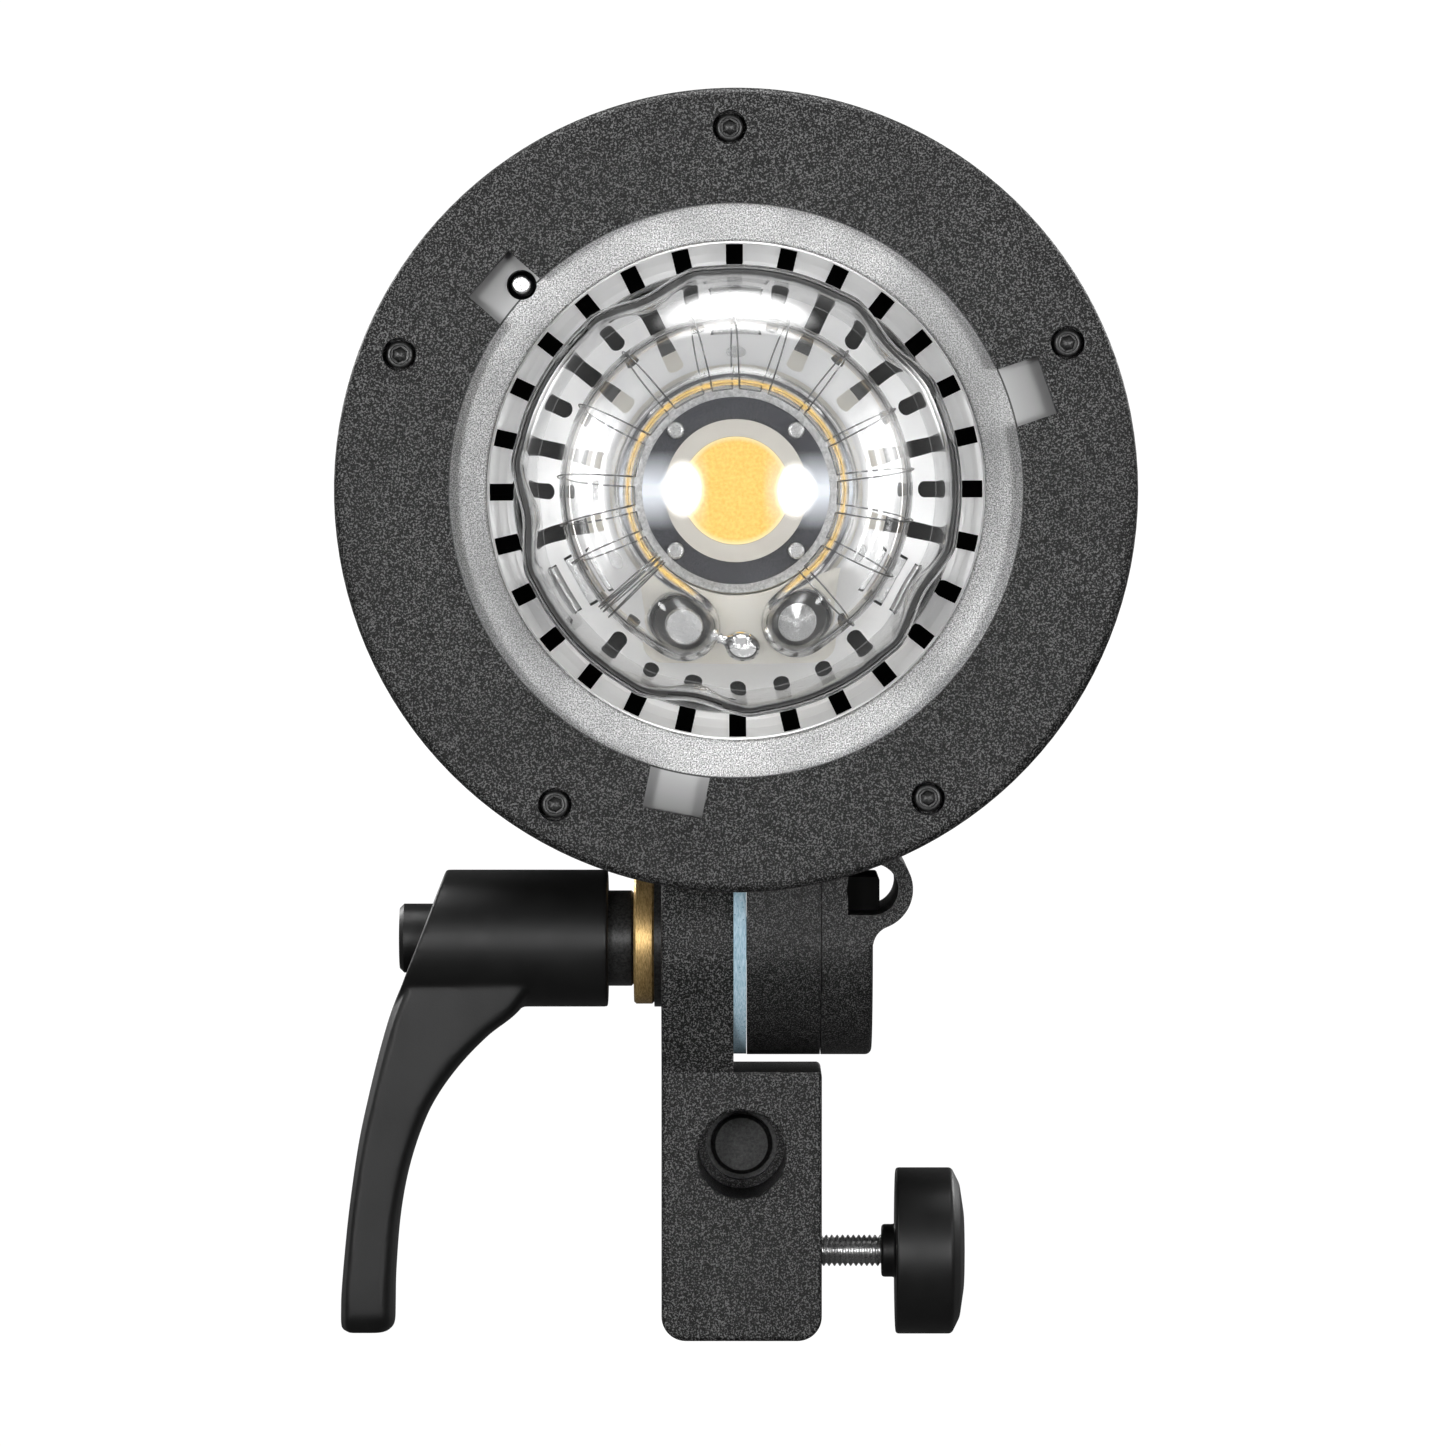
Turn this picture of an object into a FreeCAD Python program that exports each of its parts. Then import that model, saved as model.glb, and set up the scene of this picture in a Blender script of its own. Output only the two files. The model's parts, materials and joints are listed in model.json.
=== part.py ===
import FreeCAD, Part
import math
import os

V = FreeCAD.Vector

# Frame: origin at the mouth of the stand socket, +Z up, the lamp faces -Y.
# All dimensions are in millimetres.

# Head position
HEAD_X = -1.05
HEAD_Z = 156.4
TILT_Z = 73.5

# Accessory bayonet
RING_FRONT = -90.0
RING_BACK = -82.0
RING_R = 70.0
THROAT_R = 50.0
RING_EDGE = 1.5
LUG_PLATE = 3.5
LUG_POCKET_R = 58.0
NOTCH_R = 57.2
NOTCH_WIDTH = 10.5
NOTCH_ANGLES = (18.8, 138.8, 258.8)
RING_SCREW_R = 63.1
RING_SCREW_ANGLES = (24.0, 91.0, 158.0, 240.0, 302.0)
FLOOR_Y = -84.0
BEZEL_R = 43.6
LOCK_PIN_R = 51.8
LOCK_PIN_ANGLE = 136.2

# Lamp
SLOT_COUNT = 28
SLOT_PHASE = 90.4
SLOT_WIDTH = 3.0
SLOT_STUBS = (0, 9, 10, 18, 19)
SLOTS_BY_SOCKET = (12, 13, 14, 15, 16)
CLIP_ANGLES = (90.0, 210.0, 330.0)
REFLECTOR_SCREW_R = 24.4
REFLECTOR_SCREW_ANGLES = (90.0, 180.0, 210.0, 333.0)
DOME_R = 38.8
DOME_WALL = 1.6
DOME_FOOT = -66.0
DOME_SHOULDER = -108.0
DOME_TIP = -132.0
TUBE_RING_R = 24.2
TUBE_R = 6.3
TUBE_WALL = 1.0
TUBE_Y = -100.0
TUBE_ELBOW_R = 6.8
LEG_R = math.hypot(TUBE_RING_R, TUBE_ELBOW_R)
LEG_TURN = math.degrees(math.atan2(TUBE_ELBOW_R, TUBE_RING_R))
LEG_ANGLES = (-65.0, 249.0)
TUBE_START = LEG_ANGLES[0] + LEG_TURN
TUBE_END = LEG_ANGLES[1] - LEG_TURN
SOCKET_FACE = -84.0
TRIGGER_ANGLES = (-48, -30, -11, 7, 27, 50, 74, 90, 106, 129, 150, 175, 190, 205, 216, 222)
TRIGGER_WIRE_R = 0.2
LED_PLATE_R = 16.4
LED_DAM_R = 12.5
LED_PHOSPHOR_R = 9.45
LED_SCREW_R = 14.9
LED_FACE = -76.0

# Housing
HOUSING_R = 60.0
HOUSING_WALL = 3.0
HOUSING_FRONT = -74.0
HOUSING_REAR = 104.0
COLLAR_R = 67.5
SPIGOT_R = 56.95
CHASSIS_Y = -56.0
VENT_PITCH = 7.0
PANEL_FACE = 116.5

# Tilt joint, outward from the stud end to the umbrella holder
STUD_R = 4.0
LEVER_HUB_R = 12.7
LEVER_HUB_RIGHT = -24.7
BRACKET_LEFT = -14.75
PLATE_RIGHT = -1.5
PLATE_END_R = 20.5
DISC_R = 21.5
DISC_LEFT = 0.95
DISC_RIGHT = 14.45
HOLDER_LEFT = 14.6
HOLDER_RIGHT = 24.0
HOLDER_HALF_Y = DISC_R
HOOK_X = 23.9
HOOK_Z = 83.6
HOOK_IN = 4.7
HOOK_OUT = 7.4

# Stand bracket
BRACKET_HALF_X = 14.75
BRACKET_HALF_Y = 14.0
BRACKET_STEP_Z = 49.6
SOCKET_R = 8.1
STAND_DEPTH = 24.0
CROSS_Z = 34.4
CROSS_DEPTH = 23.0
KNOB_Z = 15.5
KNOB_R = 15.4


# ---------------------------------------------------------------- helpers

def box(x0, x1, y0, y1, z0, z1):
    return Part.makeBox(x1 - x0, y1 - y0, z1 - z0, V(x0, y0, z0))


def cyl_x(radius, x0, x1, y=0.0, z=TILT_Z):
    return Part.makeCylinder(radius, x1 - x0, V(x0, y, z), V(1, 0, 0))


def cyl_y(radius, y0, y1, x=HEAD_X, z=HEAD_Z):
    return Part.makeCylinder(radius, y1 - y0, V(x, y0, z), V(0, 1, 0))


def cyl_z(radius, z0, z1, x=0.0, y=0.0):
    return Part.makeCylinder(radius, z1 - z0, V(x, y, z0), V(0, 0, 1))


def join(shapes):
    return shapes[0].fuse(shapes[1:]).removeSplitter()


def head_box(x0, x1, y0, y1, z0, z1):
    """A box placed from the head's axis."""
    return box(HEAD_X + x0, HEAD_X + x1, y0, y1, HEAD_Z + z0, HEAD_Z + z1)


def head_cyl(radius, y0, y1, x, z):
    """A cylinder along Y, placed from the head's axis."""
    return cyl_y(radius, y0, y1, HEAD_X + x, HEAD_Z + z)


def turned(points):
    """Revolve (radius, y) points about the head's axis."""
    corners = [V(HEAD_X + radius, y, HEAD_Z) for radius, y in points]
    face = Part.Face(Part.makePolygon(corners + [corners[0]]))
    return face.revolve(V(HEAD_X, 0, HEAD_Z), V(0, 1, 0), 360)


def turned_x(points, z=TILT_Z):
    """Revolve (x, radius) points about an axis along X at height z."""
    corners = [V(x, 0, z + radius) for x, radius in points]
    face = Part.Face(Part.makePolygon(corners + [corners[0]]))
    return face.revolve(V(0, 0, z), V(1, 0, 0), 360)


def spun(shape, degrees):
    """A copy turned about the head's axis, counter-clockwise seen from the front."""
    copy = shape.copy()
    copy.rotate(V(HEAD_X, 0, HEAD_Z), V(0, -1, 0), degrees)
    return copy


def polar(radius, degrees):
    turn = math.radians(degrees)
    return radius * math.cos(turn), radius * math.sin(turn)


def circles(shape, radius, axis_value, axis="y"):
    """The circular edges of one radius on one plane."""
    found = []
    for edge in shape.Edges:
        curve = edge.Curve
        if not isinstance(curve, Part.Circle):
            continue
        if abs(curve.Radius - radius) > 1e-3:
            continue
        if abs(getattr(curve.Center, axis) - axis_value) < 1e-3:
            found.append(edge)
    return found


def spline(points):
    curve = Part.BSplineCurve()
    curve.interpolate([V(*point) for point in points])
    return curve.toShape()


def coil(radius, wire, start, length, turns, axis):
    """A helical spring of round wire from a start point along an axis."""
    path = Part.makeHelix(length / turns, length, radius)
    ring = Part.makeCircle(wire, V(radius, 0, 0), V(0, 1, 0))
    solid = Part.Wire(path.Edges).makePipeShell([Part.Wire(ring)], True, True)
    solid.rotate(V(0, 0, 0), *axis)
    solid.translate(V(*start))
    return solid


def cap_screw(radius, head_y, shank_y, shank_radius, head_height, socket):
    """A hex-socket screw on the head's axis, its head towards -Y."""
    head = cyl_y(radius, head_y, head_y + head_height)
    shank = cyl_y(shank_radius, head_y + head_height, shank_y)
    corners = []
    for step in range(6):
        dx, dz = polar(socket, 60 * step)
        corners.append(V(HEAD_X + dx, head_y, HEAD_Z + dz))
    hexagon = Part.Face(Part.makePolygon(corners + [corners[0]]))
    recess = hexagon.extrude(V(0, head_height * 0.6, 0))
    return head.fuse(shank).cut(recess)


def moved(shape, x, y, z):
    copy = shape.copy()
    copy.translate(V(x, y, z))
    return copy


# ---------------------------------------------------------------- bayonet

def mount_ring():
    lug_back = RING_FRONT + LUG_PLATE
    ring = turned([
        (THROAT_R, RING_FRONT), (RING_R, RING_FRONT), (RING_R, RING_BACK),
        (LUG_POCKET_R, RING_BACK), (LUG_POCKET_R, lug_back), (THROAT_R, lug_back),
    ])
    ring = ring.makeFillet(RING_EDGE, circles(ring, RING_R, RING_FRONT))
    ring = ring.makeFillet(0.8, circles(ring, RING_R, RING_BACK))
    notch = head_box(THROAT_R - 2, NOTCH_R, RING_FRONT - 1, lug_back + 1,
                     -NOTCH_WIDTH / 2, NOTCH_WIDTH / 2)
    seat = moved(cyl_y(2.95, RING_FRONT - 1, RING_FRONT + 4.0), RING_SCREW_R, 0, 0)
    hole = moved(cyl_y(1.7, RING_FRONT, RING_BACK + 1), RING_SCREW_R, 0, 0)
    tools = [spun(notch, angle) for angle in NOTCH_ANGLES]
    for angle in RING_SCREW_ANGLES:
        tools += [spun(seat, angle), spun(hole, angle)]
    return ring.cut(tools)


def ring_screws():
    screw = cap_screw(2.4, RING_FRONT + 1.0, HOUSING_FRONT - 1.5, 1.6, 3.0, 1.3)
    screw = moved(screw, RING_SCREW_R, 0, 0)
    return Part.makeCompound([spun(screw, angle) for angle in RING_SCREW_ANGLES])


def bayonet_base():
    base = turned([
        (BEZEL_R, FLOOR_Y), (57.9, FLOOR_Y), (57.9, RING_BACK), (56.9, RING_BACK),
        (56.9, -76.0), (45.2, -76.0), (45.2, -81.0), (BEZEL_R, -81.0),
    ])
    base = base.makeFillet(0.4, circles(base, BEZEL_R, FLOOR_Y))
    well = moved(cyl_y(2.6, FLOOR_Y - 1, -75.0), LOCK_PIN_R, 0, 0)
    return base.cut(spun(well, LOCK_PIN_ANGLE))


def front_collar():
    collar = turned([
        (57.0, RING_BACK), (COLLAR_R, RING_BACK), (COLLAR_R, -76.5), (65.5, HOUSING_FRONT),
        (SPIGOT_R, HOUSING_FRONT), (SPIGOT_R, CHASSIS_Y), (54.0, CHASSIS_Y),
        (54.0, -75.95), (57.0, -75.95),
    ])
    thread = moved(cyl_y(1.6, RING_BACK - 1, HOUSING_FRONT - 1.5), RING_SCREW_R, 0, 0)
    tools = [spun(thread, angle) for angle in RING_SCREW_ANGLES]
    tools.append(lock_slot())
    tools.append(spun(moved(cyl_y(2.9, -77.0, -55.0), LOCK_PIN_R, 0, 0), LOCK_PIN_ANGLE))
    return collar.cut(tools)


def lock_slot():
    slot = head_box(53.0, HOUSING_R + 1, -68.3, -57.7, -2.8, 2.8)
    return spun(slot, LOCK_PIN_ANGLE)


def lock_parts():
    pin = moved(cyl_y(1.6, -88.0, -50.0), LOCK_PIN_R, 0, 0)
    pin = pin.makeFillet(0.4, circles(pin, 1.6, -88.0))
    hub = moved(cyl_y(3.4, -68.0, -62.0), LOCK_PIN_R, 0, 0)
    stem = head_box(LOCK_PIN_R, 62.0, -68.0, -62.0, -2.5, 2.5)
    pad = head_box(60.4, 65.0, -72.0, -58.0, -6.5, 6.5)
    pad = pad.cut(cyl_y(60.5, -73.0, -57.0))
    pad = pad.makeFillet(1.2, [edge for edge in pad.Edges if edge.BoundBox.XMin > HEAD_X + 64.9])
    grips = []
    for step in range(4):
        y = -69.5 + 2.6 * step
        grips.append(head_box(64.2, 66.0, y, y + 1.2, -5.0, 5.0))
    slider = join([hub, stem, pad]).cut(grips)
    slider = slider.cut(moved(cyl_y(1.6, -69.0, -61.0), LOCK_PIN_R, 0, 0))
    spring = coil(2.3, 0.3, (0, 0, 0), 5.2, 5, (V(1, 0, 0), -90))
    spring = moved(spring, HEAD_X + LOCK_PIN_R, -61.6, HEAD_Z)
    return {
        "lock_pin": spun(pin, LOCK_PIN_ANGLE),
        "lock_slider": spun(slider, LOCK_PIN_ANGLE),
        "lock_spring": spun(spring, LOCK_PIN_ANGLE),
    }


# ---------------------------------------------------------------- lamp

def reflector():
    bowl = turned([
        (43.3, -80.9), (42.0, -69.5), (40.6, -66.4), (38.0, -64.6), (20.3, -61.4),
        (20.3, -60.2), (38.2, -63.3), (41.6, -65.6), (43.1, -69.0), (44.4, -80.9),
    ])
    tools = []
    for index in range(SLOT_COUNT):
        if index in SLOT_STUBS:
            inner = 39.0
        elif index in SLOTS_BY_SOCKET:
            inner = 35.0
        elif index % 2:
            inner = 33.0
        else:
            inner = 22.6
        slot = head_box(inner + SLOT_WIDTH / 2, 46.0, -79.6, -59.0,
                        -SLOT_WIDTH / 2, SLOT_WIDTH / 2)
        end = moved(cyl_y(SLOT_WIDTH / 2, -79.6, -59.0), inner + SLOT_WIDTH / 2, 0, 0)
        angle = SLOT_PHASE + index * 360.0 / SLOT_COUNT
        tools += [spun(slot, angle), spun(end, angle)]
    window = head_box(30.5, 33.5, -66.0, -59.0, -5.0, 5.0)
    clip_slot = head_box(35.6, 37.0, -66.0, -59.0, -4.8, 4.8)
    for angle in CLIP_ANGLES:
        tools += [spun(window, angle), spun(clip_slot, angle)]
    hole = moved(cyl_y(1.1, -66.0, -59.0), REFLECTOR_SCREW_R, 0, 0)
    tools += [spun(hole, angle) for angle in REFLECTOR_SCREW_ANGLES]
    return bowl.cut(tools + leg_bores(2.2, -66.0, -59.0))


def reflector_screws():
    head = cyl_y(1.75, -63.8, -62.55)
    shank = cyl_y(1.0, -62.55, -57.0)
    cross = head_box(-1.2, 1.2, -63.9, -63.2, -0.25, 0.25)
    screw = head.fuse(shank).cut([cross, head_box(-0.25, 0.25, -63.9, -63.2, -1.2, 1.2)])
    screw = moved(screw, REFLECTOR_SCREW_R, 0, 0)
    return Part.makeCompound([spun(screw, angle) for angle in REFLECTOR_SCREW_ANGLES])


def dome_clips():
    leg = head_box(36.0, 36.6, -74.0, -61.15, -4.5, 4.5)
    foot = head_box(29.6, 36.6, -61.75, -61.15, -4.5, 4.5)
    clip = join([leg, foot])
    return Part.makeCompound([spun(clip, angle) for angle in CLIP_ANGLES])


def glass_dome():
    def profile(radius, tip):
        points = []
        for step in range(13):
            turn = math.radians(7.5 * step)
            y = DOME_SHOULDER + (tip - DOME_SHOULDER) * math.sin(turn)
            points.append((HEAD_X + radius * math.cos(turn), y, HEAD_Z))
        return points

    outer = profile(DOME_R, DOME_TIP)
    inner = profile(DOME_R - DOME_WALL, DOME_TIP + DOME_WALL)
    outer_foot = (outer[0][0], DOME_FOOT, HEAD_Z)
    inner_foot = (inner[0][0], DOME_FOOT, HEAD_Z)
    edges = [
        Part.makeLine(V(*outer_foot), V(*outer[0])), spline(outer),
        Part.makeLine(V(*outer[-1]), V(*inner[-1])), spline(inner[::-1]),
        Part.makeLine(V(*inner[0]), V(*inner_foot)),
        Part.makeLine(V(*inner_foot), V(*outer_foot)),
    ]
    face = Part.Face(Part.Wire(edges))
    return face.revolve(V(HEAD_X, 0, HEAD_Z), V(0, 1, 0), 360)


def tube_body(radius, leg_back):
    """An open ring of round section whose two ends turn back along Y as legs."""
    section = Part.Face(Part.Wire(Part.makeCircle(
        radius, V(HEAD_X + TUBE_RING_R, TUBE_Y, HEAD_Z), V(0, 0, 1))))
    ring = spun(section, TUBE_START)
    ring = ring.revolve(V(HEAD_X, 0, HEAD_Z), V(0, -1, 0), TUBE_END - TUBE_START)
    pieces = [ring]
    elbow_y = TUBE_Y + TUBE_ELBOW_R
    pivot = V(HEAD_X, elbow_y, HEAD_Z)
    for ring_angle, leg_angle, turn in ((TUBE_START, LEG_ANGLES[0], 90),
                                        (TUBE_END, LEG_ANGLES[1], -90)):
        x, z = polar(1.0, ring_angle)
        pieces.append(spun(section, ring_angle).revolve(pivot, V(x, 0, z), turn))
        x, z = polar(LEG_R, leg_angle)
        pieces.append(head_cyl(radius, elbow_y, leg_back, x, z))
    return join(pieces)


def leg_bores(radius, y0, y1):
    """Two cylinders along Y on the axes of the tube's legs."""
    return [head_cyl(radius, y0, y1, *polar(LEG_R, angle)) for angle in LEG_ANGLES]


def flash_tube():
    outer = tube_body(TUBE_R, SOCKET_FACE).fuse(tube_pip())
    inner = tube_body(TUBE_R - TUBE_WALL, SOCKET_FACE - 2.0)
    return outer.cut([inner] + leg_bores(1.25, SOCKET_FACE - 3.0, SOCKET_FACE + 1.0))


def electrode(angle, tip_radius):
    x, z = polar(LEG_R, angle)
    nose = Part.makeCone(tip_radius, 3.4, 2.2, V(HEAD_X + x, -96.4, HEAD_Z + z), V(0, 1, 0))
    barrel = head_cyl(3.4, -94.2, -88.5, x, z)
    lead = head_cyl(1.25, -88.5, -54.5, x, z)
    return join([nose, barrel, lead])


def tube_pip():
    """The sealed filling nipple: a drop on a thin neck from one leg."""
    leg_x, leg_z = polar(LEG_R, LEG_ANGLES[1])
    pip_x, pip_z = 0.9, -27.0
    reach = math.hypot(pip_x - leg_x, pip_z - leg_z)
    profile = [(TUBE_R - 0.6, 0.0), (TUBE_R - 0.6, 0.9)]
    for step in range(11):
        along, across = polar(2.7, 160 - 15 * step)
        profile.append((reach + along, across))
    profile.append((profile[-1][0], 0.0))
    corners = [V(x, radius, 0) for x, radius in profile]
    drop = Part.Face(Part.makePolygon(corners + [corners[0]]))
    drop = drop.revolve(V(0, 0, 0), V(1, 0, 0), 360)
    drop.rotate(V(0, 0, 0), V(0, -1, 0), math.degrees(math.atan2(pip_z - leg_z, pip_x - leg_x)))
    return moved(drop, HEAD_X + leg_x, -90.5, HEAD_Z + leg_z)


def trigger_wire():
    loop_r = TUBE_R + TRIGGER_WIRE_R + 0.05
    loop = Part.makeTorus(loop_r, TRIGGER_WIRE_R, V(HEAD_X + TUBE_RING_R, TUBE_Y, HEAD_Z),
                          V(0, 0, 1))
    loops = [spun(loop, angle) for angle in TRIGGER_ANGLES]
    link_r = TUBE_RING_R - loop_r - 2 * TRIGGER_WIRE_R - 0.05
    link = Part.Face(Part.Wire(Part.makeCircle(
        TRIGGER_WIRE_R, V(HEAD_X + link_r, TUBE_Y, HEAD_Z), V(0, 0, 1))))
    link = spun(link, TRIGGER_ANGLES[0])
    span = TRIGGER_ANGLES[-1] - TRIGGER_ANGLES[0]
    link = link.revolve(V(HEAD_X, 0, HEAD_Z), V(0, -1, 0), span)
    return Part.makeCompound(loops + [link])


def lamp_socket():
    block = head_box(-16.4, 17.6, SOCKET_FACE, -64.1, -30.5, -13.0)
    block = block.cut(cyl_y(18.3, SOCKET_FACE - 1, -63.0))
    long_edges = []
    for edge in block.Edges:
        if edge.BoundBox.YLength > 15 and edge.BoundBox.ZMax < HEAD_Z - 30.0:
            long_edges.append(edge)
    block = block.makeFillet(3.5, long_edges)
    return block.cut(leg_bores(1.25, SOCKET_FACE - 1, -63.0))


def lamp_base():
    """The ceramic mounting disc behind the reflector and the socket block before it."""
    disc = turned([(18.1, -60.1), (29.0, -60.1), (29.0, CHASSIS_Y), (18.1, CHASSIS_Y)])
    hole = moved(cyl_y(1.0, -61.0, -57.0), REFLECTOR_SCREW_R, 0, 0)
    tools = leg_bores(1.25, -61.0, -55.0)
    tools += [spun(hole, angle) for angle in REFLECTOR_SCREW_ANGLES]
    return Part.makeCompound([disc.cut(tools), lamp_socket()])


def led_parts():
    plate_back = LED_FACE + 1.5
    hole = moved(cyl_y(0.8, LED_FACE - 1, -71.0), LED_SCREW_R, 0, 0)
    holes = [spun(hole, angle) for angle in (45, 135, 225, 315)]
    head = cyl_y(1.5, LED_FACE - 1.0, LED_FACE)
    head = head.makeFillet(0.5, circles(head, 1.5, LED_FACE - 1.0))
    slot = head_box(-1.0, 1.0, LED_FACE - 1.1, LED_FACE - 0.5, -0.22, 0.22)
    screw = head.fuse(cyl_y(0.8, LED_FACE, -71.0))
    screw = screw.cut([slot, head_box(-0.22, 0.22, LED_FACE - 1.1, LED_FACE - 0.5, -1.0, 1.0)])
    screw = moved(screw, LED_SCREW_R, 0, 0)
    column = turned([(0, plate_back), (17.0, plate_back), (17.0, -73.0), (18.0, -73.0),
                     (18.0, -54.0), (30.0, -54.0), (30.0, -51.0), (0, -51.0)])
    fins = []
    for step in range(9):
        x = -24.0 + 6.0 * step
        half = math.sqrt(30.0 ** 2 - (abs(x) + 1.0) ** 2)
        fins.append(head_box(x - 0.8, x + 0.8, -51.5, -36.0, -half, half))
    return {
        "led_plate": cyl_y(LED_PLATE_R, LED_FACE, plate_back).cut(holes),
        "led_dam": turned([(9.5, LED_FACE - 1.3), (LED_DAM_R, LED_FACE - 1.3),
                           (LED_DAM_R, LED_FACE), (9.5, LED_FACE)]),
        "led_phosphor": cyl_y(LED_PHOSPHOR_R, LED_FACE - 0.9, LED_FACE),
        "led_screws": Part.makeCompound([spun(screw, a) for a in (45, 135, 225, 315)]),
        "led_heat_sink": join([column] + fins).cut(holes),
    }


# ---------------------------------------------------------------- housing

def side_vents(side):
    """Seven long slots through one side wall."""
    tools = []
    for step in range(-3, 4):
        slot = head_box(50.0, HOUSING_R + 2, 46.0, 88.0, -1.5, 1.5)
        ends = [cyl_x(1.5, HEAD_X + 50, HEAD_X + 62, y, HEAD_Z) for y in (46.0, 88.0)]
        angle = VENT_PITCH * step + (0 if side > 0 else 180)
        tools += [spun(shape, angle) for shape in [slot] + ends]
    return tools


def top_vents():
    tools = []
    for step in range(8):
        y = -48.0 + 5.0 * step
        for angle in (40, 140):
            tools.append(spun(head_box(50.0, HOUSING_R + 2, y, y + 2.2, -9.0, 9.0), angle))
    return tools


def housing_tube():
    tube = turned([
        (HOUSING_R - HOUSING_WALL, HOUSING_FRONT), (HOUSING_R, HOUSING_FRONT),
        (HOUSING_R, HOUSING_REAR), (HOUSING_R - HOUSING_WALL, HOUSING_REAR),
    ])
    tools = side_vents(1) + side_vents(-1) + top_vents() + [lock_slot()]
    groove = turned([(59.2, -0.6), (61.0, -0.6), (61.0, 0.6), (59.2, 0.6)])
    tools += [moved(groove, 0, y, 0) for y in (-70.0, 99.0)]
    return tube.cut(tools)


def top_grip():
    face = Part.Face(Part.makePolygon([
        V(HEAD_X + 60.03, -22.0, HEAD_Z), V(HEAD_X + 62.6, -22.0, HEAD_Z),
        V(HEAD_X + 62.6, 78.0, HEAD_Z), V(HEAD_X + 60.03, 78.0, HEAD_Z),
        V(HEAD_X + 60.03, -22.0, HEAD_Z)]))
    pad = spun(face, 66).revolve(V(HEAD_X, 0, HEAD_Z), V(0, -1, 0), 48)
    groove = turned([(61.6, 0), (64.0, 0), (64.0, 2.0), (61.6, 2.0)])
    return pad.cut([moved(groove, 0, -17.0 + 5.0 * step, 0) for step in range(19)])


def main_chassis():
    plate = cyl_y(56.9, CHASSIS_Y, -54.0)
    floor = head_box(-40.0, 40.0, -54.5, 94.0, -38.0, -36.5)
    posts = [head_box(33.0, 40.0, y, y + 4, -38.0, -25.0) for y in (45.0, 85.0)]
    posts += [cyl_z(2.5, HEAD_Z - 37.0, HEAD_Z + 8.0, HEAD_X + x, y)
              for x in (-38.0, 38.0) for y in (-24.0, 30.0)]
    tools = [cyl_y(18.1, -57.0, -53.0)]
    tools.append(spun(moved(cyl_y(1.66, -57.0, -53.0), LOCK_PIN_R, 0, 0), LOCK_PIN_ANGLE))
    tools += leg_bores(1.25, -57.0, -53.0)
    return join([plate, floor] + posts).cut(tools)


def power_parts():
    cans = []
    for x in (-17.6, 17.6):
        can = head_cyl(17.0, -30.0, 36.0, x, -18.2)
        groove = head_cyl(18.0, 30.0, 31.5, x, -18.2).cut(head_cyl(16.2, 29.0, 32.0, x, -18.2))
        cans.append(can.cut(groove))
    board = head_box(-44.0, 44.0, -30.0, 36.0, 8.0, 9.6)
    core = head_box(-32.0, -4.0, -22.0, 8.0, 9.6, 34.0)
    core = core.cut(head_box(-27.0, -9.0, -23.0, 9.0, 15.0, 29.0))
    winding = head_box(-26.9, -9.1, -24.0, 10.0, 15.1, 28.9)
    trigger = cyl_z(8.5, HEAD_Z + 9.6, HEAD_Z + 29.0, HEAD_X - 20.0, 23.0)
    sink = [head_box(8.0, 38.0, -24.0, 30.0, 9.6, 13.0)]
    sink += [head_box(8.0 + 4.7 * step, 9.8 + 4.7 * step, -24.0, 30.0, 12.0, 30.0)
             for step in range(7)]
    return {
        "flash_capacitors": Part.makeCompound(cans),
        "power_board": Part.makeCompound([board, core, winding, trigger]),
        "igbt_heat_sink": join(sink),
    }


def fan_parts():
    fan_y = 67.0
    frame = head_box(33.0, 46.0, fan_y - 25, fan_y + 25, -25.0, 25.0)
    frame = frame.cut(cyl_x(23.2, HEAD_X + 32, HEAD_X + 47, fan_y, HEAD_Z))
    hub = cyl_x(8.5, HEAD_X + 33, HEAD_X + 34.6, fan_y, HEAD_Z)
    arms = []
    for turn in (30, 150, 270):
        arm = head_box(33.0, 34.6, fan_y - 1.2, fan_y + 1.2, 7.0, 24.0)
        arm.rotate(V(HEAD_X, fan_y, HEAD_Z), V(1, 0, 0), turn)
        arms.append(arm)
    axle = cyl_x(1.5, HEAD_X + 34.6, HEAD_X + 41, fan_y, HEAD_Z)
    corners = [cyl_x(2.1, HEAD_X + 32, HEAD_X + 47, fan_y + dy, HEAD_Z + dz)
               for dy in (-21, 21) for dz in (-21, 21)]
    frame = join([frame, hub, axle] + arms).cut(corners)
    rotor = cyl_x(9.0, HEAD_X + 35.2, HEAD_X + 44.6, fan_y, HEAD_Z)
    blades = []
    for step in range(7):
        blade = head_box(35.6, 44.2, fan_y - 0.7, fan_y + 0.7, 8.0, 22.2)
        blade.rotate(V(HEAD_X + 39.9, fan_y, HEAD_Z + 15), V(0, 0, 1), 38)
        blade.rotate(V(HEAD_X, fan_y, HEAD_Z), V(1, 0, 0), 360.0 / 7 * step)
        blades.append(blade)
    impeller = join([rotor] + blades)
    impeller = impeller.common(cyl_x(22.4, HEAD_X + 35.2, HEAD_X + 44.6, fan_y, HEAD_Z))
    impeller = impeller.cut(cyl_x(1.56, HEAD_X + 34, HEAD_X + 42, fan_y, HEAD_Z))
    return {"fan_frame": frame, "fan_impeller": impeller}


# ---------------------------------------------------------------- rear panel

BUTTON_SPOTS = {"test_button": (33.0, 24.0), "model_lamp_button": (-33.0, 24.0)}
PANEL_SCREW_ANGLES = (50.0, 130.0, 205.0, 335.0)


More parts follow.
